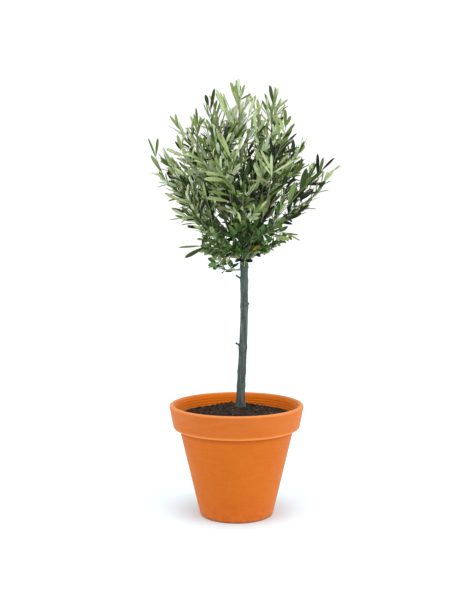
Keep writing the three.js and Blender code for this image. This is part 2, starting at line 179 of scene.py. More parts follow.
def new_group(name, inputs, output):
    """An empty shader group with number inputs given as name: value, and one number output."""
    group = bpy.data.node_groups.new(name, "ShaderNodeTree")
    for socket_name, value in inputs.items():
        socket = group.interface.new_socket(socket_name, in_out="INPUT", socket_type="NodeSocketFloat")
        socket.default_value = value
    group.interface.new_socket(output, in_out="OUTPUT", socket_type="NodeSocketFloat")
    return group, group.nodes.new("NodeGroupInput"), group.nodes.new("NodeGroupOutput")


def calculated(tree, operation, one, other):
    """What a Math node makes of two inputs, each a socket or a number."""
    node = tree.nodes.new("ShaderNodeMath")
    node.operation = operation
    for socket, value in zip(node.inputs, (one, other)):
        if isinstance(value, bpy.types.NodeSocket):
            tree.links.new(value, socket)
        else:
            socket.default_value = value
    return node.outputs[0]


def stretched_place(group, source):
    """Object coordinates with their upright part multiplied, for patterns that run along or round."""
    place = group.nodes.new("ShaderNodeTexCoord")
    parts = group.nodes.new("ShaderNodeSeparateXYZ")
    joined = group.nodes.new("ShaderNodeCombineXYZ")
    group.links.new(place.outputs["Object"], parts.inputs[0])
    for axis in "XY":
        group.links.new(parts.outputs[axis], joined.inputs[axis])
    upright = calculated(group, "MULTIPLY", parts.outputs["Z"], source.outputs["Upright stretch"])
    group.links.new(upright, joined.inputs["Z"])
    return joined.outputs[0]


MOTTLING_DETAIL = 5
MIDDLE = 0.5               # a noise pattern lies evenly round this value


def mottling_group():
    """Soft patches from 0 to 1: how large, how sharp-edged, and how far along the vertical."""
    group, source, result = new_group(
        "Patchy mottling", {"Scale": 40, "Sharpness": 0.3, "Upright stretch": 1, "Roughness": 0.6}, "Mask")
    patches = group.nodes.new("ShaderNodeTexNoise")
    patches.inputs["Detail"].default_value = MOTTLING_DETAIL
    group.links.new(stretched_place(group, source), patches.inputs["Vector"])
    for name in ("Scale", "Roughness"):
        group.links.new(source.outputs[name], patches.inputs[name])
    half = calculated(group, "SUBTRACT", MIDDLE, source.outputs["Sharpness"])
    spread = group.nodes.new("ShaderNodeMapRange")
    group.links.new(patches.outputs["Fac"], spread.inputs["Value"])
    group.links.new(calculated(group, "SUBTRACT", MIDDLE, half), spread.inputs["From Min"])
    group.links.new(calculated(group, "ADD", MIDDLE, half), spread.inputs["From Max"])
    group.links.new(spread.outputs[0], result.inputs["Mask"])
    return group


def grain_group():
    """Fine unevenness for a Bump node's Height, stretched round or along by the vertical."""
    group, source, result = new_group(
        "Fine grain", {"Scale": 900, "Detail": 3, "Upright stretch": 1}, "Height")
    grains = group.nodes.new("ShaderNodeTexNoise")
    group.links.new(stretched_place(group, source), grains.inputs["Vector"])
    for name in ("Scale", "Detail"):
        group.links.new(source.outputs[name], grains.inputs[name])
    group.links.new(grains.outputs["Fac"], result.inputs["Height"])
    return group


MOTTLING = mottling_group()
GRAIN = grain_group()
print("shader groups:", MOTTLING.name, "and", GRAIN.name)

# %% [markdown]
# A small class keeps each material's recipe short to read. It holds the node tree and its
# Principled shader, and has one method for each thing that a recipe does: place a shared group,
# mix two colours by a mask, map a mask to a number, and turn a height into a bump.

# %% A material and its nodes
COLOUR_A, COLOUR_RESULT = 6, 2         # a Mix node's first colour input, and its colour output


class Finish:
    def __init__(self, name, colour, roughness, **plain):
        self.material = bpy.data.materials.new(name)
        self.material.use_nodes = True
        self.tree = self.material.node_tree
        self.shader = self.tree.nodes["Principled BSDF"]
        self.shader.inputs["Base Color"].default_value = (*colour, 1)
        self.shader.inputs["Roughness"].default_value = roughness
        for socket, value in plain.items():
            self.shader.inputs[socket.replace("_", " ")].default_value = value

    def node(self, kind, **values):
        made = self.tree.nodes.new(kind)
        for socket, value in values.items():
            made.inputs[socket.replace("_", " ")].default_value = value
        return made

    def group(self, group, **values):
        made = self.tree.nodes.new("ShaderNodeGroup")
        made.node_tree = group
        for socket, value in values.items():
            made.inputs[socket.replace("_", " ")].default_value = value
        return made.outputs[0]

    def mixed(self, mask, low, high):
        """A colour between low and high, each a plain colour or a socket."""
        mix = self.tree.nodes.new("ShaderNodeMix")
        mix.data_type = "RGBA"
        self.tree.links.new(mask, mix.inputs["Factor"])
        for socket, colour in zip(mix.inputs[COLOUR_A:COLOUR_A + 2], (low, high)):
            if isinstance(colour, bpy.types.NodeSocket):
                self.tree.links.new(colour, socket)
            else:
                socket.default_value = (*colour, 1)
        return mix.outputs[COLOUR_RESULT]

    def ranged(self, value, low, high, from_low=0.0, from_high=1.0):
        """A number that goes from low to high as a value goes through its own range."""
        spread = self.node(
            "ShaderNodeMapRange", From_Min=from_low, From_Max=from_high, To_Min=low, To_Max=high)
        self.tree.links.new(value, spread.inputs["Value"])
        return spread.outputs[0]

    def times(self, one, other):
        return calculated(self.tree, "MULTIPLY", one, other)

    def place(self):
        """How high a point stands and how far it is from the upright axis, in metres."""
        place = self.tree.nodes.new("ShaderNodeTexCoord")
        parts = self.tree.nodes.new("ShaderNodeSeparateXYZ")
        level = self.tree.nodes.new("ShaderNodeCombineXYZ")
        radius = self.tree.nodes.new("ShaderNodeVectorMath")
        radius.operation = "LENGTH"
        self.tree.links.new(place.outputs["Object"], parts.inputs[0])
        self.tree.links.new(parts.outputs["X"], level.inputs["X"])
        self.tree.links.new(parts.outputs["Y"], level.inputs["Y"])
        self.tree.links.new(level.outputs[0], radius.inputs[0])
        return parts.outputs["Z"], radius.outputs["Value"]

    def feed(self, socket, value):
        self.tree.links.new(value, self.shader.inputs[socket])

    def bump(self, *heights):
        """Bumps one after the other, each a height socket, a strength and a depth in metres."""
        normal = None
        for height, strength, depth in heights:
            bump = self.node("ShaderNodeBump", Strength=strength, Distance=depth)
            self.tree.links.new(height, bump.inputs["Height"])
            if normal is not None:
                self.tree.links.new(normal, bump.inputs["Normal"])
            normal = bump.outputs[0]
        self.feed("Normal", normal)


# %% [markdown]
# The camera stands two metres in front of the pot at the height of the trunk's middle, and looks
# down a little, which is the angle that shows the far wall of the rim above the soil. Its lens is
# given by how many pixels a metre takes at a metre's distance in a frame 600 pixels high.

# %% Camera
FRAME_HEIGHT_PX = 600
CAMERA = {"place": (2.05, -2000.0, 624.0), "down": 0.0792, "focal_px": 935.65, "sensor": 36.0,
          "sees_to": 100}

lens = bpy.data.cameras.new("Camera")
lens.sensor_width = CAMERA["sensor"]
lens.lens = CAMERA["focal_px"] * CAMERA["sensor"] / FRAME_HEIGHT_PX
lens.clip_end = CAMERA["sees_to"]
camera = bpy.data.objects.new("Camera", lens)
camera.location = Vector(CAMERA["place"]) * MM
camera.rotation_euler = (math.pi / 2 - CAMERA["down"], 0, 0)
bpy.context.scene.collection.objects.link(camera)
bpy.context.scene.camera = camera
print("lens:", round(lens.lens, 2), "mm")

# %% [markdown]
# The studio is a wide white floor under a bright even sky. A broad soft sun from nearly overhead
# models the leaves and lays a soft shadow round the foot of the pot. Two cool soft boxes stand low
# at the sides, the right one stronger: they light the pot's wall and turn the edges paler, but
# only graze the floor. The sky is dimmer as a light than it looks to the camera, so that the heart
# of the crown stays dark while the backdrop stays white.

# %% Floor, sky and lamps
STUDIO = {
    "floor_size": 30.0, "floor_white": (0.78, 0.9, 0.96), "floor_glow": 0.03,
    "sky_light": 0.7, "sky_seen": 1.05,
    "sun_strength": 1.95, "sun_angle": 45, "sun_azimuth": -88, "sun_height": 83,
    "box_size": 1.4, "box_colour": (0.9, 0.96, 1.0),
    "right_box": (1450.0, -700.0, 500.0), "right_power": 16,
    "left_box": (-1450.0, -700.0, 480.0), "left_power": 9,
}
BOX_AIM_HEIGHT = 350


def floor_piece():
    half = STUDIO["floor_size"] / (2 * MM)
    corners = [[-half, -half, 0], [half, -half, 0], [half, half, 0], [-half, half, 0]]
    white = Finish("Studio floor", STUDIO["floor_white"], 0.9, Emission_Strength=STUDIO["floor_glow"])
    white.shader.inputs["Emission Color"].default_value = (1, 1, 1, 1)
    patches = white.group(MOTTLING, Scale=3.0, Sharpness=0.1)
    white.feed("Roughness", white.ranged(patches, 0.85, 0.95))
    mesh_from_arrays("floor", corners, [[0, 1, 2, 3]], [white.material], smooth=False)


def sky():
    world = bpy.data.worlds.new("Sky")
    world.use_nodes = True
    tree = world.node_tree
    tree.nodes.clear()
    seen_by = tree.nodes.new("ShaderNodeLightPath")
    strength = tree.nodes.new("ShaderNodeMapRange")
    strength.inputs["To Min"].default_value = STUDIO["sky_light"]
    strength.inputs["To Max"].default_value = STUDIO["sky_seen"]
    light = tree.nodes.new("ShaderNodeBackground")
    light.inputs["Color"].default_value = (1, 1, 1, 1)
    out = tree.nodes.new("ShaderNodeOutputWorld")
    tree.links.new(seen_by.outputs["Is Camera Ray"], strength.inputs["Value"])
    tree.links.new(strength.outputs[0], light.inputs["Strength"])
    tree.links.new(light.outputs[0], out.inputs[0])
    bpy.context.scene.world = world


def sun_lamp():
    lamp = bpy.data.lights.new("Sun", "SUN")
    lamp.energy = STUDIO["sun_strength"]
    lamp.angle = math.radians(STUDIO["sun_angle"])
    piece = bpy.data.objects.new("Sun", lamp)
    towards = Vector(direction_of(STUDIO["sun_azimuth"], STUDIO["sun_height"]))
    piece.rotation_euler = towards.to_track_quat("Z", "Y").to_euler()
    bpy.context.scene.collection.objects.link(piece)


def soft_box(side):
    """A wide lamp beside the plant, which turns the pot's and the leaves' edges paler."""
    lamp = bpy.data.lights.new(f"Soft box {side}", "AREA")
    lamp.size = STUDIO["box_size"]
    lamp.color = STUDIO["box_colour"]
    lamp.energy = STUDIO[f"{side}_power"]
    piece = bpy.data.objects.new(f"Soft box {side}", lamp)
    piece.location = Vector(STUDIO[f"{side}_box"]) * MM
    aim = Vector((0, 0, BOX_AIM_HEIGHT * MM))
    piece.rotation_euler = (piece.location - aim).to_track_quat("Z", "Y").to_euler()
    bpy.context.scene.collection.objects.link(piece)


floor_piece()
sky()
sun_lamp()
soft_box("right")
soft_box("left")
bpy.context.scene.view_settings.view_transform = "Standard"
print("studio ready")

# %% [markdown]
# The pot is a thrown clay pot with flat sides, a deep collar and a rounded lip. On a wheel it
# would be one turned section, and it is that here too: the profile goes from the middle of the
# underside, up the wall, under and round the collar, over the lip and down inside to the floor.
# A lathe in code beats a cylinder with bevels, because the fillets and the throwing rings inside
# are then part of the one curve. A touch of wobble keeps it from looking machined.

# %% Pot sizes and the wall inside
POT = {
    "height": 241, "rim": 145, "base": 79, "wall": 9, "floor": 12, "collar": 52,
    "collar_foot": 137, "body_top": 123.7, "lip": 11, "edge": 3,
}
SOIL = {"below_rim": 27, "mound_rise": 19, "mound_radius": 34}

soil_edge_z = POT["height"] - SOIL["below_rim"]
soil_top_z = soil_edge_z + SOIL["mound_rise"]
collar_foot_z = POT["height"] - POT["collar"]
body_slope = (POT["body_top"] - POT["base"]) / collar_foot_z


def smoothstep(value, low, high):
    share = np.clip((value - low) / (high - low), 0, 1)
    return share * share * (3 - 2 * share)


def inner_radius(z):
    """The wall inside: parallel to the body below, and a lip's width in from the collar above."""
    body_inner = POT["base"] - POT["wall"] + body_slope * z
    collar_inner = POT["rim"] - POT["lip"] - body_slope * (POT["height"] - z)
    return lerp(body_inner, collar_inner, smoothstep(z, collar_foot_z, soil_edge_z))


def arc(centre, radius, start, end, count):
    """Points on an arc, from a start to an end angle in degrees."""
    turns = np.radians(np.linspace(start, end, count + 1))
    return [(centre[0] + radius * math.cos(t), centre[1] + radius * math.sin(t)) for t in turns]


print("soil edge", soil_edge_z, "mm, mound", soil_top_z, "mm")

# %% Pot mesh
POT_SEGMENTS = 200
THROWING = {"pitch": 5.4, "depth": 0.45}      # rings left by the fingers inside
TURNING = {"pitch": 2.6, "depth": 0.05}      # fainter marks of the rib outside
RINGS_FADE = 4                               # towards the ends of a stretch of wall
WOBBLE = 0.35
FILLET = 2.4
INSIDE_STEP = 0.8
BELOW_SOIL = 8


def wall_points(low, high, radius_at, marks, step=1.3):
    """A stretch of wall with its rings, from one height to another."""
    heights = np.linspace(low, high, max(2, int(abs(high - low) / step)))
    rings = marks["depth"] * np.sin(2 * math.pi * heights / marks["pitch"])
    fade = np.minimum(1, np.minimum(abs(heights - low), abs(high - heights)) / RINGS_FADE)
    return [(radius_at(z) + ring * part, z) for z, ring, part in zip(heights, rings, fade)]


def pot_profile():
    edge, lip = POT["edge"], POT["lip"] / 2
    under, foot_radius = collar_foot_z, POT["collar_foot"]
    collar_low, collar_high = under + 2 * edge, POT["height"] - lip
    body = wall_points(edge + 2, under - FILLET, lambda z: POT["base"] + body_slope * z, TURNING)
    collar = wall_points(
        collar_low + 1.5, collar_high - 1,
        lambda z: lerp(foot_radius, POT["rim"], (z - collar_low) / (collar_high - collar_low)), TURNING)
    inside = wall_points(POT["height"] - lip - 1, soil_edge_z - BELOW_SOIL, inner_radius, THROWING,
                         INSIDE_STEP)
    return [
        (0, 0), (POT["base"] - 2.2 * edge, 0),
        *arc((POT["base"] - edge, edge), edge, -90, -8, 5), *body,
        *arc((POT["body_top"] + FILLET, under - FILLET), FILLET, 180, 90, 5),
        *arc((foot_radius - 2 * edge, under + 2 * edge), 2 * edge, -90, 0, 8), *collar,
        *arc((POT["rim"] - lip, POT["height"] - lip), lip, 0, 180, 14), *inside,
        *[(inner_radius(z), z) for z in (collar_foot_z, 120, POT["floor"])], (0, POT["floor"]),
    ]


def hand_turned(points):
    """Draws the wall in and out by a hair, in slow waves, without moving the underside."""
    turns = np.arctan2(points[..., 1], points[..., 0])
    share = points[..., 2] / POT["height"]
    waves = np.sin(2 * turns + 0.8) + 0.5 * np.sin(3 * turns + 2.1 + 3 * share)
    drawn = 1 - WOBBLE * (1.5 - waves) * share / (3 * POT["rim"])
    return np.concatenate([points[..., :2] * drawn[..., None], points[..., 2:]], axis=-1)


# %% [markdown]
# Fired terracotta is bright orange and quite matt. What tells it from plastic is its unevenness:
# broad patches from the kiln, a faint pale bloom of salts that water draws out on the collar and
# the foot, fine turning marks round the wall, and a grain like fine sand. The lip and the collar's
# lower edge carry painted highlights, the wall just under the collar has painted shade, and the
# wall inside the lip has painted light. The wall is damp and deeper in colour near the foot, and
# the very edge of the foot is painted dark, as contact shade and as damp from the wet ground.

# %% Terracotta
COLLAR_BAND = ((collar_foot_z - 1) * MM, (collar_foot_z + 2) * MM)
# painted shade on the wall just under the collar
COLLAR_SHADE_BAND = ((collar_foot_z - 13) * MM, (collar_foot_z - 0.4) * MM)
# painted highlight along the top of the lip
LIP_BAND = ((POT["height"] - 5) * MM, (POT["height"] - 0.6) * MM)
# painted highlight along the collar's lower edge
FOOT_BAND_LOW = ((collar_foot_z + 0.3) * MM, (collar_foot_z + 1.2) * MM)
FOOT_BAND_HIGH = ((collar_foot_z + 4) * MM, (collar_foot_z + 7) * MM)
DAMP = (0.55, 0.0, 0.012, 0.05)          # share of the colour at the first height and at the second
SALTS = (0.4, 0.0, 0.0, 0.045)
# painted contact shade and damp along the very edge of the foot
FOOT_EDGE_SHADE_AND_DAMP = (0.8, 0.0, 0.0008, 0.0032)
LIP_INSIDE = ((POT["rim"] - POT["lip"] + 1) * MM, (POT["rim"] - POT["lip"] + 3) * MM)


def terracotta():
    clay = Finish("Terracotta", linear(200, 90, 14), 0.82, Specular_IOR_Level=0.12,
                  Sheen_Weight=0.34, Sheen_Roughness=0.45)
    clay.shader.inputs["Sheen Tint"].default_value = (*linear(255, 214, 180), 1)
    height, radius = clay.place()
    kiln = clay.group(MOTTLING, Scale=11, Sharpness=0.28, Roughness=0.55)
    body = clay.mixed(kiln, linear(188, 86, 4), linear(198, 97, 9))
    marks = clay.group(MOTTLING, Scale=26, Sharpness=0.3, Upright_stretch=22, Roughness=0.6)
    body = clay.mixed(clay.times(marks, 0.4), body, linear(212, 108, 26))
    specks = clay.group(MOTTLING, Scale=620, Sharpness=0.42, Roughness=0.5)
    body = clay.mixed(clay.times(specks, 0.14), body, linear(230, 140, 64))
    salts = clay.group(MOTTLING, Scale=60, Sharpness=0.42, Roughness=0.75)
    body = clay.mixed(clay.ranged(height, *DAMP), body, linear(204, 92, 4))
    body = clay.mixed(clay.times(salts, clay.ranged(height, *SALTS)), body, linear(222, 138, 78))
    # painted contact shade and damp along the very edge of the foot
    body = clay.mixed(clay.ranged(height, *FOOT_EDGE_SHADE_AND_DAMP), body, linear(92, 42, 14))
    weathered_collar = clay.ranged(height, 0.04, 0.5, *COLLAR_BAND)
    wipes = clay.group(MOTTLING, Scale=16, Sharpness=0.38, Upright_stretch=7, Roughness=0.65)
    wiped_collar = clay.times(clay.ranged(wipes, 0.2, 1.0), weathered_collar)
    body = clay.mixed(wiped_collar, body, linear(196, 110, 62))
    # painted shade on the wall just under the collar, darkest next to it
    painted_collar_shade = clay.ranged(height, 0.0, 0.55, *COLLAR_SHADE_BAND)
    below_collar = clay.ranged(height, 1.0, 0.0, COLLAR_SHADE_BAND[1], COLLAR_SHADE_BAND[1] + 0.0008)
    body = clay.mixed(clay.times(painted_collar_shade, below_collar), body, linear(140, 56, 6))
    # painted light on the wall inside the lip
    painted_light_inside = clay.times(clay.ranged(radius, 0.85, 0.0, *LIP_INSIDE),
                              clay.ranged(height, 0.0, 1.0, *COLLAR_BAND))
    body = clay.mixed(painted_light_inside, body, linear(240, 120, 8))
    # painted highlight along the top of the lip
    painted_lip_highlight = clay.ranged(height, 0.0, 0.5, *LIP_BAND)
    body = clay.mixed(painted_lip_highlight, body, linear(236, 158, 100))
    # painted highlight along the collar's lower edge
    painted_collar_edge_highlight = clay.times(clay.ranged(height, 0.0, 0.4, *FOOT_BAND_LOW),
                           clay.ranged(height, 1.0, 0.0, *FOOT_BAND_HIGH))
    clay.feed("Base Color", clay.mixed(painted_collar_edge_highlight, body, linear(232, 146, 84)))
    clay.feed("Roughness", clay.ranged(salts, 0.74, 0.92))
    grain = clay.group(GRAIN, Scale=1500, Detail=4)
    rings = clay.group(GRAIN, Scale=34, Detail=4, Upright_stretch=26)
    clay.bump((rings, 0.5, 0.0006), (grain, 0.35, 0.0004))
    return clay.material


pot = turned_mesh("pot_wall", pot_profile(), POT_SEGMENTS, [terracotta()], hand_turned)
dress(pot, "terracotta", "pot")

# %% [markdown]
# The soil is moist dark potting compost, heaped a little round the stem. Its bed is a closed turned
# form as deep as the pot, so that it fills the pot from any side, and its top is broken up with
# noise. A noisy plane alone still looks like velvet, so crumbs, bark chips and a few pale grains
# lie on it: each is a small lump of its own size and turn, and each kind is joined into one piece.

# %% Soil bed
SOIL_SEGMENTS = 168
SOIL_RINGS = 92
SOIL_CLEARANCE = 0.35
STEM_CLEARANCE = 1.2
CRUMB_RELIEF = 2.2
CRUMB_WAVES = [(0.06, 1.7, 0.8), (0.19, 8.3, 0.9), (0.5, 3.1, 0.55)]     # scale, layer of noise, share
CALM_AT_WALL = {"run": 5, "least": 0.25}
CALM_AT_STEM = {"radius": 13, "run": 8, "least": 0.35}

soil_bed_radius = inner_radius(soil_edge_z) - SOIL_CLEARANCE


def soil_height(radius):
    """The mound: high at the stem, level at the wall."""
    share = np.clip((radius - SOIL["mound_radius"]) / (soil_bed_radius - SOIL["mound_radius"]), 0, 1)
    return soil_edge_z + SOIL["mound_rise"] * (0.5 + 0.5 * np.cos(math.pi * share))


def soil_relief(x, y):
    """How far the crumbled top stands above the smooth mound at a place."""
    return CRUMB_RELIEF * sum(share * noise.noise(Vector((x * scale, y * scale, layer)))
                              for scale, layer, share in CRUMB_WAVES)


def soil_profile():
    foot = POT["floor"] + SOIL_CLEARANCE
    buried = [(0, foot)] + [(inner_radius(z) - SOIL_CLEARANCE, z) for z in (foot, 100, collar_foot_z)]
    top = [(r, float(soil_height(r))) for r in np.linspace(soil_bed_radius, STEM_CLEARANCE, SOIL_RINGS)]
    return buried + top + [(0, soil_top_z)]


def crumbled(points):
    """Lifts the top by the relief, and leaves the buried wall and the rim of the bed alone."""
    for point in points.reshape(-1, 3):
        if point[2] > soil_edge_z - 0.5:
            radius = math.hypot(point[0], point[1])
            from_wall = (inner_radius(soil_edge_z) - radius) / CALM_AT_WALL["run"]
            from_stem = (radius - CALM_AT_STEM["radius"]) / CALM_AT_STEM["run"]
            wall = min(1.0, from_wall + CALM_AT_WALL["least"])
            stem = lerp(CALM_AT_STEM["least"], 1, min(1.0, max(0.0, from_stem)))
            point[2] += soil_relief(point[0], point[1]) * wall * stem
    return points


def compost(name, dark, light):
    earth = Finish(name, dark, 0.95, Specular_IOR_Level=0.25)
    patches = earth.group(MOTTLING, Scale=230, Sharpness=0.36, Roughness=0.7)
    damp = earth.group(MOTTLING, Scale=24, Sharpness=0.3)
    colour = earth.mixed(patches, dark, light)
    earth.feed("Base Color", earth.mixed(earth.times(damp, 0.35), colour, dark))
    earth.feed("Roughness", earth.ranged(damp, 0.98, 0.72))
    earth.bump((earth.group(GRAIN, Scale=700, Detail=5), 0.8, 0.0012))
    return earth.material


earth_material = compost("Compost", linear(38, 28, 22), linear(74, 56, 44))
soil = turned_mesh("soil_bed", soil_profile(), SOIL_SEGMENTS, [earth_material], crumbled)
dress(soil, "soil", "soil")

# %% Crumbs, chips and pale grains
CRUMB_KINDS = {
    "crumbs": {"count": 1500, "size": (0.9, 3.1), "flat": 0.8, "long": 1.0,
               "colours": [(30, 22, 17), (46, 34, 26), (66, 48, 36)]},
    "bark_chips": {"count": 210, "size": (1.6, 4.2), "flat": 0.35, "long": 2.0,
                   "colours": [(66, 45, 31), (52, 36, 26), (92, 68, 48)]},
    "pale_grains": {"count": 70, "size": (0.6, 1.3), "flat": 0.9, "long": 1.0,
                    "colours": [(176, 162, 142), (140, 122, 104)]},
}
LUMP = {"flattest": 0.7, "fullest": 1.15, "smallest": 0.7, "tip": 0.7, "sunk": 0.25}
CRUMBS = {"seed": 11, "from_wall": 5, "from_stem": 0.008, "on_relief": 0.8}
NEIGHBOURS = 1.06          # no two neighbours of the round lump's twelve points lie further apart


def lump_template():
    """The twelve points and twenty faces of a round lump."""
    golden = (1 + math.sqrt(5)) / 2
    signs = [(s, t) for s in (-1, 1) for t in (-1, 1)]
    points = [(s, t * golden, 0) for s, t in signs]
    points += [(0, s, t * golden) for s, t in signs]
    points += [(s * golden, 0, t) for s, t in signs]
    points = unit(np.array(points, dtype=float))
    faces = []
    for a, b, c in itertools.combinations(range(12), 3):
        sides = [np.linalg.norm(points[i] - points[j]) for i, j in ((a, b), (b, c), (a, c))]
        if max(sides) < NEIGHBOURS:
            out = np.dot(np.cross(points[b] - points[a], points[c] - points[a]), points[a])
            faces.append((a, b, c) if out > 0 else (a, c, b))
    return points, np.array(faces)


LUMP_POINTS, LUMP_FACES = lump_template()


def swung(one, other, angles):
    """Two coordinates of each lump's points, turned by the lump's own angle."""
    cos, sin = np.cos(angles)[:, None], np.sin(angles)[:, None]
    return one * cos - other * sin, one * sin + other * cos


def lump_materials(name, colours):
    materials = []
    for i, colour in enumerate(colours):
        grain = Finish(f"{name} {i + 1}", linear(*colour), 0.9, Specular_IOR_Level=0.25)
        grain.bump((grain.group(GRAIN, Scale=1600, Detail=4), 0.6, 0.0006))
        materials.append(grain.material)
    return materials


def crumb_piece(name, kind, seed):
    """Scattered lumps, each turned, flattened and roughened its own way, half sunk in the soil."""
    random = np.random.default_rng(seed)
    count = kind["count"]
    reach = inner_radius(soil_edge_z) - CRUMBS["from_wall"]
    radius = np.sqrt(random.uniform(CRUMBS["from_stem"], 1, count)) * reach
    turn = random.uniform(0, 2 * math.pi, count)
    size = random.uniform(*kind["size"], count) * random.uniform(LUMP["smallest"], 1, count)
    x, y = radius * np.cos(turn), radius * np.sin(turn)
    ground = np.array([soil_relief(a, b) for a, b in zip(x, y)]) * CRUMBS["on_relief"]
    z = soil_height(radius) + ground + LUMP["sunk"] * size * kind["flat"]
    rough = random.uniform(LUMP["flattest"], LUMP["fullest"], (count, len(LUMP_POINTS), 1))
    shape = LUMP_POINTS[None] * rough
    shape = shape * (size[:, None] * np.array([kind["long"], 1, kind["flat"]]))[:, None, :]
    spin = random.uniform(0, 2 * math.pi, count)
    tip = random.uniform(-LUMP["tip"], LUMP["tip"], count)
    across, along, up = np.moveaxis(shape, -1, 0)
    across, up = swung(across, up, tip)
    across, along = swung(across, along, spin)
    placed = np.stack([across, along, up], axis=-1) + np.stack([x, y, z], axis=-1)[:, None, :]
    faces = (LUMP_FACES[None] + len(LUMP_POINTS) * np.arange(count)[:, None, None]).reshape(-1, 3)
    tints = np.repeat(random.integers(0, len(kind["colours"]), count), len(LUMP_FACES))
    dress(mesh_from_arrays(name, placed.reshape(-1, 3), faces, lump_materials(name, kind["colours"]),
                           tints, smooth=False), "soil")


for order, (crumb_name, crumb_kind) in enumerate(CRUMB_KINDS.items()):
    crumb_piece(crumb_name, crumb_kind, order + CRUMBS["seed"])

# %% [markdown]
# The trunk is the stem of a young standard: slim, a little uneven, with a flare where it meets the
# soil, faint swellings where side shoots were pruned away and three cut stubs. Its axis is
# a smooth curve through a few stations. The same stations are in the solid, so the bark lies on
# it. A curve class measures its own length, so that a place on any limb can be given as a share.

# %% Curves with even spacing
TANGENT_STEP = 0.01


class Limb:
    """A curve as many short steps, with places and directions given by a share of its length."""

    def __init__(self, points):
        self.points = np.asarray(points, dtype=float)
        steps = np.linalg.norm(np.diff(self.points, axis=0), axis=1)
        self.run = np.concatenate([[0], np.cumsum(steps)])
        self.length = float(self.run[-1])

    def at(self, share):
        wanted = np.clip(np.asarray(share, dtype=float), 0, 1) * self.length
        return np.stack([np.interp(wanted, self.run, self.points[:, k]) for k in range(3)], axis=-1)

    def tangent(self, share):
        share = np.asarray(share, dtype=float)
        ahead = self.at(np.minimum(share + TANGENT_STEP, 1))
        return unit(ahead - self.at(np.maximum(share - TANGENT_STEP, 0)))


def bent(start, bend, end, count=36):
    """A limb that leaves its start towards a bend and arrives from there at its end."""
    share = np.linspace(0, 1, count)[:, None]
    rest = 1 - share
    return Limb(rest * rest * start + 2 * rest * share * bend + share * share * end)


# %% Trunk and hub
GAP = 0.3
TRUNK_STATIONS = [         # height up the trunk, x, y and radius
    (0, 8.4, 0, 12.6), (8, 8.5, 0.1, 10.6), (26, 9.0, 0.5, 9.3), (110, 12.8, 1.6, 8.7),
    (190, 16.2, 0.4, 8.2), (260, 16.4, -1.0, 8.0), (318, 16.4, 0, 8.3), (362, 17.0, 0.2, 6.4),
]
SCARS = [
    {"up": 46, "swell": 0.7}, {"up": 78, "swell": 0.9},
    {"up": 129, "swell": 1.3, "azimuth": 184, "stub": 9},
    {"up": 218, "swell": 1.0, "azimuth": 350, "stub": 4}, {"up": 258, "swell": 0.8},
    {"up": 273, "swell": 1.1, "azimuth": 190, "stub": 13}, {"up": 304, "swell": 0.9},
]
SCAR_SPREAD = 7
STUB = {"radius": 2.3, "lift": 34}
HUB_UP = 336
TRUNK_TIP_UP = TRUNK_STATIONS[-1][0]
TRUNK_STEPS = 160

trunk_foot_z = soil_top_z + GAP
station_up, station_x, station_y, station_radius = np.array(TRUNK_STATIONS, dtype=float).T


def through_stations(values, up):
    """A smooth value through the stations: each span is a cubic whose slopes join its neighbours'."""
    slopes = np.gradient(values, station_up)
    span = int(np.clip(np.searchsorted(station_up, up) - 1, 0, len(station_up) - 2))
    width = station_up[span + 1] - station_up[span]
    t = (up - station_up[span]) / width
    return ((2 * t**3 - 3 * t**2 + 1) * values[span] + (t**3 - 2 * t**2 + t) * width * slopes[span]
            + (3 * t**2 - 2 * t**3) * values[span + 1] + (t**3 - t**2) * width * slopes[span + 1])


def trunk_point(up):
    return np.array([through_stations(station_x, up), through_stations(station_y, up), trunk_foot_z + up])


def trunk_radius(up):
    base = np.interp(up, station_up, station_radius)
    return base + sum(s["swell"] * math.exp(-(((up - s["up"]) / SCAR_SPREAD) ** 2)) for s in SCARS)


trunk = Limb([trunk_point(up) for up in np.linspace(0, TRUNK_TIP_UP, TRUNK_STEPS)])
hub = trunk_point(HUB_UP)
print("trunk", round(trunk.length), "mm long, hub at", [round(float(v), 1) for v in hub])

# %% [markdown]
# The head is shared out by direction from the hub in the fork. Each mass of foliage has an axis,
# and keeps to the directions nearest its own, so that no two masses grow through each other. A
# bough carries each of the upper masses. These are the source's masses, in the source's order,
# because the order seeds each mass's random numbers.

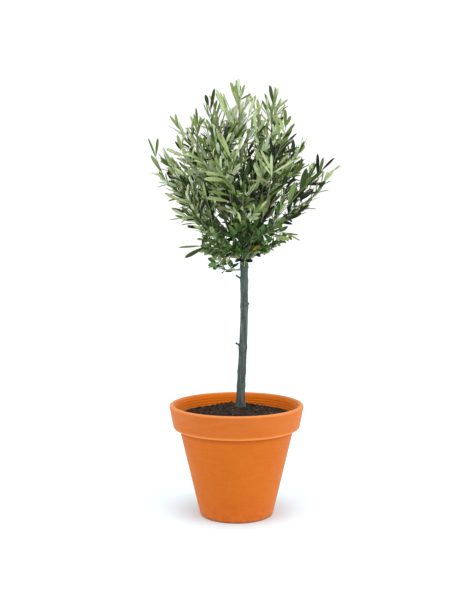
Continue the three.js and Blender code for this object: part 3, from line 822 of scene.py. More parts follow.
# %% Masses of foliage
CROWN = {"radius": 190, "rise": 175}
BARE_REACH = 13
BOUGH = {"tip": 2.4, "taper": 0.8, "fork_share": 0.8, "rise": 14, "bend": 0.45}
MASS_TABLE = [            # name, azimuth and lift in degrees, reach, and what else it needs
    ("top", 250, 84, 368, {"bough": 130, "root": 5.9, "up": 362}),
    ("top_right", 12, 78, 360, {"bough": 145, "from": "top", "at": 0.5}),
    ("top_left", 146, 76, 348, {"bough": 138, "from": "top", "at": 0.3}),
    ("upper_right", 3, 61, 282, {"bough": 116, "root": 5.4, "tip": 4.4, "up": 346}),
    ("upper_back_right", 58, 58, 300, {"bough": 90, "root": 4.4, "up": 333}),
    ("upper_back_left", 128, 56, 300, {"bough": 88, "root": 4.6, "up": 346}),
    ("upper_left", 186, 62, 330, {"bough": 104, "root": 4.8, "up": 333}),
    ("upper_front_left", 244, 59, 300, {"bough": 84, "root": 4.4, "up": 347}),
    ("upper_front_right", 303, 58, 296, {"bough": 88, "root": 4.7, "up": 333}),
    ("right", 354, 42, 276, {"bough": 76, "from": "upper_right", "at": 0.3}),
    ("back_right", 40, 37, 236, {"bough": 62, "from": "upper_back_right", "at": 0.32}),
    ("back", 88, 38, 240, {"bough": 60, "root": 3.6, "up": 320}),
    ("back_left", 136, 36, 236, {"bough": 62, "from": "upper_back_left", "at": 0.3}),
    ("left", 182, 43, 304, {"bough": 78, "from": "upper_left", "at": 0.3}),
    ("front_left", 222, 37, 240, {"bough": 58, "from": "upper_front_left", "at": 0.32}),
    ("front", 268, 37, 236, {"bough": 56, "root": 3.6, "up": 320}),
    ("front_right", 314, 36, 236, {"bough": 58, "from": "upper_front_right", "at": 0.34}),
    ("low_right", 2, 18, 132, {"up": 318}),
    ("low_back_right", 62, 15, 128, {"up": 312}),
    ("low_back_left", 121, 16, 128, {"up": 315}),
    ("low_left", 178, 8, 150, {"up": 318}),
    ("low_front_left", 236, 15, 128, {"up": 313}),
    ("low_front_right", 302, 16, 124, {"up": 310}),
    ("hanging_left", 200, -26, 92, {"up": 300, "apart": 1.7}),
]
MASSES = [{"name": name, "azimuth": azimuth, "lift": lift, "reach": reach,
           "leaf": "lance" if "bough" in rest else "oval", **rest}
          for name, azimuth, lift, reach, rest in MASS_TABLE]
MASS_NAMED = {mass["name"]: mass for mass in MASSES}
for mass in MASSES:
    mass["axis"] = direction_of(mass["azimuth"], mass["lift"])

boughed = [mass for mass in MASSES if "bough" in mass]
print(len(MASSES), "masses,", len(boughed), "of them on boughs")

# %% [markdown]
# A bough leaves the trunk nearer the level than its mass lies and bends up towards it, as young
# olive wood does. A fork leaves its parent halfway between the parent's run and its own. The
# rule and its numbers are the source's, so each bough here lies in its own solid's place.

# %% Boughs as curves
def bough_curve(mass):
    if "curve" in mass:
        return mass["curve"]
    end = hub + mass["axis"] * mass["bough"]
    if "from" in mass:
        parent = bough_curve(MASS_NAMED[mass["from"]])
        start = parent.at(mass["at"])
        leave = unit(parent.tangent(mass["at"]) + unit(end - start))
    elif mass["up"] < TRUNK_TIP_UP:
        start = trunk_point(mass["up"])
        leave = direction_of(mass["azimuth"], mass["lift"] - BOUGH["rise"])
    else:
        leave = trunk.tangent(1)
        start = trunk.at(1)
    mass["curve"] = bent(start, start + leave * BOUGH["bend"] * np.linalg.norm(end - start), end)
    return mass["curve"]


def bough_radius(mass, share):
    root = mass.get("root")
    if root is None:
        root = BOUGH["fork_share"] * bough_radius(MASS_NAMED[mass["from"]], mass["at"])
    return lerp(root, mass.get("tip", BOUGH["tip"]), share ** BOUGH["taper"])


for mass in boughed:
    bough_curve(mass)
print("bough lengths:", [round(mass["curve"].length) for mass in boughed])

# %% [markdown]
# Each limb is a tube: rings of points round its curve, carried along without twisting. The same
# function makes the trunk, the boughs and the twigs, and only the number of sides and the radius
# differ.

# %% Tubes round curves
NO_LIMB_LIES_THIS_WAY = [0.31, 0.95, 0.02]


def carried_frames(curve, shares):
    """Two directions square to the curve at each share, carried along with no twist."""
    tangents = curve.tangent(shares)
    across = [unit(np.cross(tangents[0], NO_LIMB_LIES_THIS_WAY))]
    for tangent in tangents[1:]:
        across.append(unit(across[-1] - tangent * np.dot(across[-1], tangent)))
    across = np.array(across)
    return across, np.cross(tangents, across)


def tube(curve, radii, sides, end=1.0):
    """Points and triangles of a closed tube with a radius for each ring, up to a share of its curve."""
    shares = np.linspace(0, end, len(radii))
    across, over = carried_frames(curve, shares)
    turns = (np.arange(sides) * 2 * math.pi / sides)[None, :, None]
    round_it = np.cos(turns) * across[:, None] + np.sin(turns) * over[:, None]
    points = curve.at(shares)[:, None] + np.asarray(radii)[:, None, None] * round_it
    last = (len(radii) - 1) * sides
    k = np.arange(1, sides - 1)
    first_cap = np.stack([0 * k, k + 1, k], 1)
    last_cap = np.stack([0 * k, k, k + 1], 1) + last
    return points.reshape(-1, 3), np.vstack([wall_faces(len(radii), sides), first_cap, last_cap])


class Gathered:
    """Small meshes gathered into the arrays of one piece."""

    def __init__(self):
        self.points, self.faces, self.count = [], [], 0

    def add(self, points, faces):
        self.points.append(points)
        self.faces.append(faces + self.count)
        self.count += len(points)

    def piece(self, name, materials):
        return mesh_from_arrays(name, np.vstack(self.points), np.vstack(self.faces), materials)


# %% [markdown]
# Where a real bough leaves the trunk there is no seam: the bark runs over the crotch in a soft
# collar. So the trunk, its stubs and the boughs are first made as tubes that run into each other,
# then a voxel remesh fuses them into one skin, and a little smoothing rounds the crotches. The
# bark's relief is then pressed into that skin point by point with noise: shallow ridges that run
# along the limb, wrinkles across it near each old scar, and small raised pores.

# %% The fused skin of trunk and boughs
SKIN = {"voxel": 0.75, "smoothing": 6, "smoothing_share": 0.5, "sink": 4.0,
        "collar": 0.28, "collar_run": 12.0, "foot_run": 3}
RINGS = {"trunk": 150, "stub": 8, "bough": 40}
SIDES = {"trunk": 30, "stub": 12, "bough": 16}
STUB_FLARE = {"radius": 0.35, "quick": 1.5}
BARK_RELIEF = {            # scale across and along the limb, offset, and depth in millimetres
    "ridges": (0.34, 0.05, 0, 0.34), "fine": (0.8, 0.22, 40, 0.14),
    "wrinkles": (0.08, 0.6, 90, 0.2), "pores": (0.28, 0.17, 0, 0.32),
}
PORE_RADIUS = 0.24
FULL_RELIEF_RADIUS = 7     # thinner limbs have shallower bark
SCAR_WRINKLES = {"run": 9, "elsewhere": 0.35}


def stub_tube(scar):
    root = trunk_point(scar["up"])
    outward = direction_of(scar["azimuth"], STUB["lift"])
    length = trunk_radius(scar["up"]) + scar["stub"]
    fading = 1 - np.minimum(1, STUB_FLARE["quick"] * np.linspace(0, 1, RINGS["stub"]))
    radii = STUB["radius"] * (1 + STUB_FLARE["radius"] * fading)
    return tube(Limb([root, root + outward * length]), radii, SIDES["stub"])


def bough_tube(mass):
    """A bough with the soft collar at its root. The topmost one goes on from the trunk with none."""
    shares = np.linspace(0, 1, RINGS["bough"])
    root_radius = bough_radius(mass, 0)
    past_root = np.maximum(shares * mass["curve"].length - root_radius, 0)
    collar = 0 if mass["name"] == "top" else root_radius * SKIN["collar"]
    radii = [bough_radius(mass, s) for s in shares] + collar * np.exp(-past_root / SKIN["collar_run"])
    return tube(mass["curve"], radii, SIDES["bough"])


def limb_tubes():
    gathered = Gathered()
    ups = np.linspace(0, TRUNK_TIP_UP, RINGS["trunk"])
    gathered.add(*tube(trunk, [trunk_radius(up) for up in ups], SIDES["trunk"]))
    for scar in SCARS:
        if "stub" in scar:
            gathered.add(*stub_tube(scar))
    for mass in boughed:
        gathered.add(*bough_tube(mass))
    return gathered.piece("limbs", [])


def fused(piece):
    """One closed skin round everything in the piece, with its creases rounded."""
    remesh = piece.modifiers.new("Skin", "REMESH")
    remesh.mode = "VOXEL"
    remesh.voxel_size = SKIN["voxel"] * MM
    remesh.use_smooth_shade = True
    smooth = piece.modifiers.new("Crotches", "SMOOTH")
    smooth.factor = SKIN["smoothing_share"]
    smooth.iterations = SKIN["smoothing"]
    graph = bpy.context.evaluated_depsgraph_get()
    piece.data = bpy.data.meshes.new_from_object(piece.evaluated_get(graph))
    piece.modifiers.clear()
    return piece


def relief(point, thickness):
    """How far the bark stands out at a point, in millimetres, on a limb of that radius."""
    x, y, z = point
    places = {kind: Vector((x * across, y * across, z * along + offset))
              for kind, (across, along, offset, _) in BARK_RELIEF.items()}
    depth = {kind: row[-1] for kind, row in BARK_RELIEF.items()}
    near_scar = max(math.exp(-(((z - trunk_foot_z - s["up"]) / SCAR_WRINKLES["run"]) ** 2)) for s in SCARS)
    pore = max(0.0, 1 - noise.voronoi(places["pores"])[0][0] / PORE_RADIUS)
    return min(1.0, thickness / FULL_RELIEF_RADIUS) * (
        depth["ridges"] * noise.noise(places["ridges"]) + depth["fine"] * noise.noise(places["fine"])
        + depth["wrinkles"] * noise.noise(places["wrinkles"]) * (SCAR_WRINKLES["elsewhere"] + near_scar)
        + depth["pores"] * pore)


LIMB_SAMPLES = 60
AT_ONCE = 4000             # points measured against all the limbs in one go
limb_shares = np.linspace(0, 1, LIMB_SAMPLES)
limb_spots = [(trunk.at(limb_shares), [trunk_radius(s * TRUNK_TIP_UP) for s in limb_shares], None)]
limb_spots += [(mass["curve"].at(limb_shares), [bough_radius(mass, s) for s in limb_shares], mass)
               for mass in boughed]
limb_places = np.vstack([places for places, _, _ in limb_spots])
limb_radii = np.concatenate([radii for _, radii, _ in limb_spots])
limb_owner = [owner for places, _, owner in limb_spots for _ in places]


def with_relief(piece):
    """Presses the bark's relief into the skin along its normals."""
    mesh = piece.data
    count = len(mesh.vertices)
    places, normals = np.zeros((count, 3)), np.zeros((count, 3))
    mesh.vertices.foreach_get("co", places.ravel())
    mesh.vertices.foreach_get("normal", normals.ravel())
    places /= MM
    shift = []
    for start in range(0, count, AT_ONCE):
        part = places[start:start + AT_ONCE]
        nearest = np.linalg.norm(part[:, None] - limb_places[None], axis=2).argmin(axis=1)
        shift += [relief(place, limb_radii[k]) for place, k in zip(part, nearest)]
    foot = smoothstep(places[:, 2], trunk_foot_z, trunk_foot_z + SKIN["foot_run"])
    places += normals * (shift * foot)[:, None]
    places[:, 2] = np.maximum(places[:, 2], trunk_foot_z - SKIN["sink"])
    mesh.vertices.foreach_set("co", (places * MM).ravel())
    mesh.polygons.foreach_set("use_smooth", np.full(len(mesh.polygons), True))
    mesh.update()
    return piece


# %% [markdown]
# Young olive bark is smooth and grey-green, browner on the shaded and older wood, with pale pores
# and darker cracks. The colours come from stretched mottling, so the streaks run along the stem,
# and the pores are the near points of a cell pattern, lighter and rougher than the rest.

# %% Bark
def bark():
    skin = Finish("Bark", linear(118, 118, 100), 0.82, Specular_IOR_Level=0.3)
    streaks = skin.group(MOTTLING, Scale=150, Sharpness=0.34, Upright_stretch=0.16, Roughness=0.65)
    patches = skin.group(MOTTLING, Scale=34, Sharpness=0.34, Upright_stretch=0.5)
    colour = skin.mixed(streaks, linear(44, 50, 46), linear(108, 118, 110))
    colour = skin.mixed(skin.times(patches, 0.55), colour, linear(70, 86, 80))
    place = skin.tree.nodes.new("ShaderNodeTexCoord")
    cells = skin.node("ShaderNodeTexVoronoi", Scale=260)
    skin.tree.links.new(place.outputs["Object"], cells.inputs["Vector"])
    pores = skin.ranged(cells.outputs["Distance"], 0.8, 0.0, 0.1, 0.3)
    colour = skin.mixed(pores, colour, linear(146, 148, 134))
    cracks = skin.group(MOTTLING, Scale=320, Sharpness=0.44, Upright_stretch=0.12, Roughness=0.7)
    skin.feed("Base Color", skin.mixed(skin.times(cracks, 0.4), colour, linear(42, 38, 33)))
    skin.feed("Roughness", skin.ranged(streaks, 0.74, 0.92))
    grain = skin.group(GRAIN, Scale=900, Detail=5, Upright_stretch=0.4)
    skin.bump((cracks, 0.5, 0.0006), (grain, 0.5, 0.0005))
    return skin.material


limbs = with_relief(fused(limb_tubes()))
limbs.data.materials.clear()
limbs.data.materials.append(bark())
dress(limbs, "bark", "trunk", *[f"bough_{mass['name']}" for mass in boughed])

# %% [markdown]
# From here on the head grows. A mass has its own space: a ball round the crown, drawn in or out by
# the mass's own reach, and cut off where a neighbour's axis is nearer. A leaf or a twig is tested
# against that space, and against the limbs, before it is kept.

# %% Space of a mass
CELL_MARGIN = 0.6
LIMB_MARGIN = 1.2

all_axes = np.array([mass["axis"] for mass in MASSES])
for index, mass in enumerate(MASSES):
    mass["walls"] = unit(mass["axis"] - np.delete(all_axes, index, axis=0))


# The head's half width at heights above the hub: narrow at the foot, widest a little above its
# middle, and leaning a little to the left over most of its height
OUTLINE_HEIGHTS = [-60, -20, 22, 66, 108, 152, 194, 236, 278, 320, 362]
OUTLINE_WIDTHS = [36, 44, 80, 104, 130, 150, 172, 168, 136, 78, 50]
OUTLINE_LEANS = [-34, -30, -8, -20, -14, -10, 0, -18, -26, -10, 0]
RAGGED = 0.06


def within_outline(out, spare=1.0):
    """True where points out from the hub are within the head's half width, a little ragged."""
    width = np.interp(out[:, 2], OUTLINE_HEIGHTS, OUTLINE_WIDTHS)
    across = out[:, 0] - np.interp(out[:, 2], OUTLINE_HEIGHTS, OUTLINE_LEANS)
    around = np.arctan2(out[:, 1], across)
    waves = np.sin(5 * around + 0.02 * out[:, 2]) + np.sin(9 * around + 1.3)
    return bool((np.hypot(across, out[:, 1]) < spare * width * (1 + RAGGED * waves)).all())


def crown_reach(rise):
    level = CROWN["rise"] ** 2 * (1 - rise * rise)
    return CROWN["rise"] * rise + np.sqrt(CROWN["radius"] ** 2 - level)


def inside_space(mass, points):
    """True where every point is within the mass's reach and nearer its axis than a neighbour's."""
    out = np.atleast_2d(points) - hub
    distance = np.linalg.norm(out, axis=1)
    reach = mass["reach"] * crown_reach(out[:, 2] / distance) / crown_reach(mass["axis"][2])
    if (distance < BARE_REACH).any() or (distance > reach).any():
        return False
    return bool((out @ mass["walls"].T > CELL_MARGIN).all())


def clear_of_limbs(points, thickness, own=None):
    """True where no point comes nearer a limb than its skin and a margin."""
    apart = np.linalg.norm(np.atleast_2d(points)[:, None] - limb_places[None], axis=2)
    near = (apart < limb_radii + thickness + LIMB_MARGIN).any(axis=0)
    if own is not None:
        near &= ~own["is_own"]
    return not near.any()


for mass in MASSES:
    mass["is_own"] = np.array([owner is mass for owner in limb_owner])
print("spaces ready,", len(limb_places), "places on limbs")

# %% [markdown]
# An olive's leaves stand in opposite pairs, and each pair is a quarter turn from the last. Long
# narrow leaves clothe the outer shoots. The short shoots low in the head carry small rounder ones.
# Towards the top more and more leaves are left out, because the sky shows through there. A leaf is
# recorded as plain numbers: root, direction, the way its upper side faces, length, width, bend,
# twist and shade. Meshes come later, all at once.

# %% Growing rule
GOLDEN_ANGLE = 137.5
LEAVES = {
    "lance": {"length": 46, "width": 7.6, "spacing": 13.2, "opening": 29, "twig_spacing": 16,
              "side_spacing": 25, "side_first": 20},
    "oval": {"length": 21, "width": 11.5, "spacing": 11.5, "opening": 50, "twig_spacing": 13,
             "side_spacing": 20, "side_first": 12},
}
PAIR = {                   # a value and how far it varies, or what is lost by the shoot's tip
    "length": (0.62, 0.46), "length_lost": 0.22, "width": (0.8, 0.36), "width_lost": 0.12,
    "opening": 26, "opening_lost": 10, "turn": 0.3, "pace": (0.85, 0.3), "least_room": 0.3,
}
TIP_LEAF = {"openings": (4, 13), "length": (0.8, 0.2), "width": 0.8, "at": 0.98}
SPRAYS_EACH = 100          # numbers kept free for the sprays of one mass
STEM = {"root": 2.3, "tip": 0.8, "bend": 0.4, "trunk_bend": 0.5, "rise": 10, "in_bough": 2,
        "leaf_room": 0.9, "bare": {"lance": 10, "oval": 24}}
TWIG = {"root": 1.25, "tip": 0.55, "opening": 41, "varies": 16, "first": 0.06, "run": 0.8,
        "wander": 0.6, "length": (0.735, 0.5, 14), "least_reach": 0.84, "bare": 0.8,
        "last_thicker": 0.2}
SIDE = {"root": 0.8, "tip": 0.45, "opening": 46, "wander": 0.6, "length": (0.62, 0.3, 8),
        "bare": 0.6}
WATER_SHOOT = {"spacing": 14, "first": 0.12, "opening": 52, "length": 62, "varies": 26, "spray": 70}
LEADER = {"reach": 1.02, "crowding": 0.85, "spare": 1.15}
SLIMMER = 0.8              # a shoot's root against that of the limb it leaves
FIT = {"least": 12, "shorter": 0.88, "towards_axis": 0.45, "leaf_room": 0.9, "steps": 14,
       "tested": [0.3, 0.6, 1.0], "leaf_clearance": 0.8}
TRIES = [(0, 1), (0, 0.6), (90, 1), (90, 0.6), (45, 0.8), (0, 0.3)]      # turn, share of the opening
UP = np.array([0.0, 0.0, 1.0])
OVAL_REACH = 125           # leaves nearer the hub than this, and lower than the height below,
OVAL_HEIGHT = 62           # are the small dark ones
THIN_FROM = [170, 171, 255, 285, 325]          # the upper head is airy: heights above the hub, and
THIN_SHARE = [0, 0.24, 0.24, 0.64, 0.9]        # the share of the leaves that have fallen there

shoots = []                # {"curve", "root", "tip", "end"}, where end is the last leaf's share
leaf_rows = {"lance": [], "oval": []}


def varied(random, low, span):
    return low + span * random()


def keep_shoot(curve, root, tip, end):
    shoots.append({"curve": curve, "root": root, "tip": tip, "end": end})
    return shoots[-1]


def leaving(axis, turn, opening):
    """A direction that leaves an axis at an angle, turned about it from the side that faces up."""
    side = turned_about(unit(np.cross(UP, axis)), axis, turn)
    return axis * math.cos(opening) + side * math.sin(opening)


def first_that_fits(turn, opening, make):
    for further, fold in TRIES:
        made = make(turn + math.radians(further), math.radians(opening * fold))
        if made is not None:
            return made
    return None


def leaf_row(mass, curve, share, turn, angle, length, width):
    """One leaf's numbers, or None where it would leave the space or touch a limb."""
    tangent = curve.tangent(share)
    along = leaving(tangent, turn, angle)
    facing = leaving(tangent, turn, angle - math.pi / 2)
    across = unit(np.cross(facing, along))
    root = curve.at(share)
    middle, tip = root + along * length * 0.5, root + along * length
    corners = np.array([tip, middle - across * width / 2, middle + across * width / 2])
    fits = (within_outline((root - hub)[None], mass.get("spare", 1.0)) and inside_space(mass, corners)
            and clear_of_limbs(np.array([middle, tip]), FIT["leaf_clearance"]))
    return np.concatenate([root, along, np.cross(along, across), [length, width]]) if fits else None


def grow_leaves(mass, curve, random, first, spray, crowding=1.0):
    """Pairs of leaves along a shoot and one or two at its tip. Tells how far along the last one is."""
    size = LEAVES[mass["leaf"]]
    run, last = first, 0.0
    around = random() * math.pi
    while run < curve.length - size["spacing"] * PAIR["least_room"]:
        share = run / curve.length
        out = curve.at(share) - hub
        inner = np.linalg.norm(out) < OVAL_REACH and out[2] < OVAL_HEIGHT
        leaf_kind = "oval" if inner else mass["leaf"]
        shape = LEAVES[leaf_kind]
        for flip in (0, math.pi):
            length = shape["length"] * varied(random, *PAIR["length"]) * (1 - PAIR["length_lost"] * share)
            width = shape["width"] * varied(random, *PAIR["width"]) * (1 - PAIR["width_lost"] * share)
            opening = shape["opening"] + PAIR["opening"] * (random() - 0.5) - PAIR["opening_lost"] * share
            bend, twist, shade, luck = random(), random(), random(), random()
            if luck < np.interp(out[2], THIN_FROM, THIN_SHARE):
                continue
            row = first_that_fits(around + flip, opening, lambda turn, angle: leaf_row(
                mass, curve, share, turn, angle, length, width))
            if row is not None:
                leaf_rows[leaf_kind].append((row, bend, twist, shade, spray))
                last = share
        around += math.pi / 2 + PAIR["turn"] * (random() - 0.5)
        run += shape["spacing"] * crowding * mass.get("apart", 1.0) * varied(random, *PAIR["pace"])
    for opening in TIP_LEAF["openings"]:
        length = size["length"] * varied(random, *TIP_LEAF["length"])
        row = first_that_fits(around, opening, lambda turn, angle: leaf_row(
            mass, curve, TIP_LEAF["at"], turn, angle, length, size["width"] * TIP_LEAF["width"]))
        if row is not None:
            leaf_rows[mass["leaf"]].append((row, random(), random(), random(), spray))
            last = 1.0
    return last


def stem_curve(mass):
    """A mass's middle line, on from its bough or up from the trunk, to its far end."""
    end = hub + mass["axis"] * (mass["reach"] - LEAVES[mass["leaf"]]["length"] * STEM["leaf_room"])
    if "bough" in mass:
        leave, bend = mass["curve"].tangent(1), STEM["bend"]
        start = mass["curve"].at(1) - leave * STEM["in_bough"]
    else:
        leave, bend = direction_of(mass["azimuth"], mass["lift"] + STEM["rise"]), STEM["trunk_bend"]
        start = trunk_point(mass["up"])
    return bent(start, start + leave * bend * np.linalg.norm(end - start), end)


def fitted_twig(mass, root, heading, length, thickness):
    """A side twig, shortened until it and its end leaf fit the space of its mass."""
    fit = length
    while fit > FIT["least"]:
        bend = root + heading * fit * 0.5
        tip = bend + unit(heading + mass["axis"] * FIT["towards_axis"]) * fit * 0.5
        curve = bent(root, bend, tip, FIT["steps"])
        leaf_tip = tip + curve.tangent(1) * LEAVES[mass["leaf"]]["length"] * FIT["leaf_room"]
        ends = np.array([bend, tip, leaf_tip])
        inside = within_outline(ends[:2] - hub) and inside_space(mass, ends)
        if inside and clear_of_limbs(curve.at(FIT["tested"]), thickness, mass):
            return curve
        fit *= FIT["shorter"]
    return None


def twig_on(mass, limb, share, turn, opening, length, thickness):
    """A twig from a share of a limb, at the first turn and opening that fit."""
    return first_that_fits(turn, opening, lambda turn, angle: fitted_twig(
        mass, limb.at(share), leaving(limb.tangent(share), turn, angle), length, thickness))


# %% Grow every mass
def grow_water_shoots(mass, index, random):
    """Short leafy shoots straight out of a bough, which fill the heart of the head."""
    bough, first = mass["curve"], WATER_SHOOT["first"]
    count = int(bough.length * (1 - first) / WATER_SHOOT["spacing"])
    for k in range(count):
        share = first + (1 - first) * (k + random()) / count
        length = WATER_SHOOT["length"] + WATER_SHOOT["varies"] * (random() - 0.5)
        turn = math.radians(GOLDEN_ANGLE * (k + 3 * index))
        shoot = twig_on(mass, bough, share, turn, WATER_SHOOT["opening"], length, TWIG["root"])
        if shoot is not None:
            bare = LEAVES[mass["leaf"]]["spacing"] * TWIG["bare"]
            spray = SPRAYS_EACH * index + WATER_SHOOT["spray"] + k
            end = grow_leaves(mass, shoot, random, bare, spray)
            keep_shoot(shoot, TWIG["root"] * SLIMMER, TWIG["tip"], end)


def grow_side_shoots(mass, twig, random, spray, thickness):
    """Short shoots along a twig, at the golden angle. Tells how far along the last one is."""
    size = LEAVES[mass["leaf"]]
    most, lost, least = SIDE["length"]
    last = 0.0
    for j in range(max(0, int((twig.length - size["side_first"]) / size["side_spacing"]))):
        share = (size["side_first"] + size["side_spacing"] * (j + SIDE["wander"] * random())) / twig.length
        length = (most - lost * share) * twig.length + least
        turn = math.radians(GOLDEN_ANGLE * j + 360 * random())
        side = twig_on(mass, twig, share, turn, SIDE["opening"], length, SIDE["root"])
        if side is not None:
            end = grow_leaves(mass, side, random, size["spacing"] * SIDE["bare"], spray)
            keep_shoot(side, min(SIDE["root"], thickness * SLIMMER), SIDE["tip"], end)
            last = share if end else last
    return last


def grow_twigs(mass, index, random):
    """The twigs round a mass's stem, each with its leaves and side shoots. Gives the last spray."""
    stem, size = mass["stem"], LEAVES[mass["leaf"]]
    most, lost, least = TWIG["length"]
    count = max(2, round(stem.length / size["twig_spacing"]))
    spray = SPRAYS_EACH * index
    for k in range(count):
        share = TWIG["first"] + TWIG["run"] * (k + random() * TWIG["wander"]) / count
        opening = TWIG["opening"] + TWIG["varies"] * (random() - 0.5)
        length = (most - lost * share) * stem.length + least
        own = dict(mass, reach=mass["reach"] * lerp(TWIG["least_reach"], 1, random()))
        turn = math.radians(GOLDEN_ANGLE * (k + index))
        twig = twig_on(own, stem, share, turn, opening, length, TWIG["root"])
        if twig is None:
            continue
        spray += 1
        thickness = lerp(TWIG["root"], TWIG["tip"] + TWIG["last_thicker"], share)
        leafy = grow_leaves(own, twig, random, size["spacing"] * TWIG["bare"], spray)
        end = max(leafy, grow_side_shoots(own, twig, random, spray, thickness))
        keep_shoot(twig, thickness, TWIG["tip"], end)
        if end:
            mass["stem_shoot"]["end"] = share
    return spray


def grow_mass(mass, index):
    random = seeded_random(index + 1)
    mass["stem"] = stem_curve(mass)
    stem_root = mass.get("tip", BOUGH["tip"]) if "bough" in mass else STEM["root"]
    mass["stem_shoot"] = keep_shoot(mass["stem"], stem_root, STEM["tip"], 0.0)
    spray = grow_twigs(mass, index, random) + 1
    leader = dict(mass, spare=LEADER["spare"], reach=mass["reach"] * LEADER["reach"])
    bare = STEM["bare"][mass["leaf"]]
    end = grow_leaves(leader, mass["stem"], random, bare, spray, LEADER["crowding"])
    mass["stem_shoot"]["end"] = max(mass["stem_shoot"]["end"], end)
    if "bough" in mass:
        grow_water_shoots(mass, index, random)


for index, mass in enumerate(MASSES):
    grow_mass(mass, index)
print(len(shoots), "shoots,", {kind: len(rows) for kind, rows in leaf_rows.items()}, "leaves")
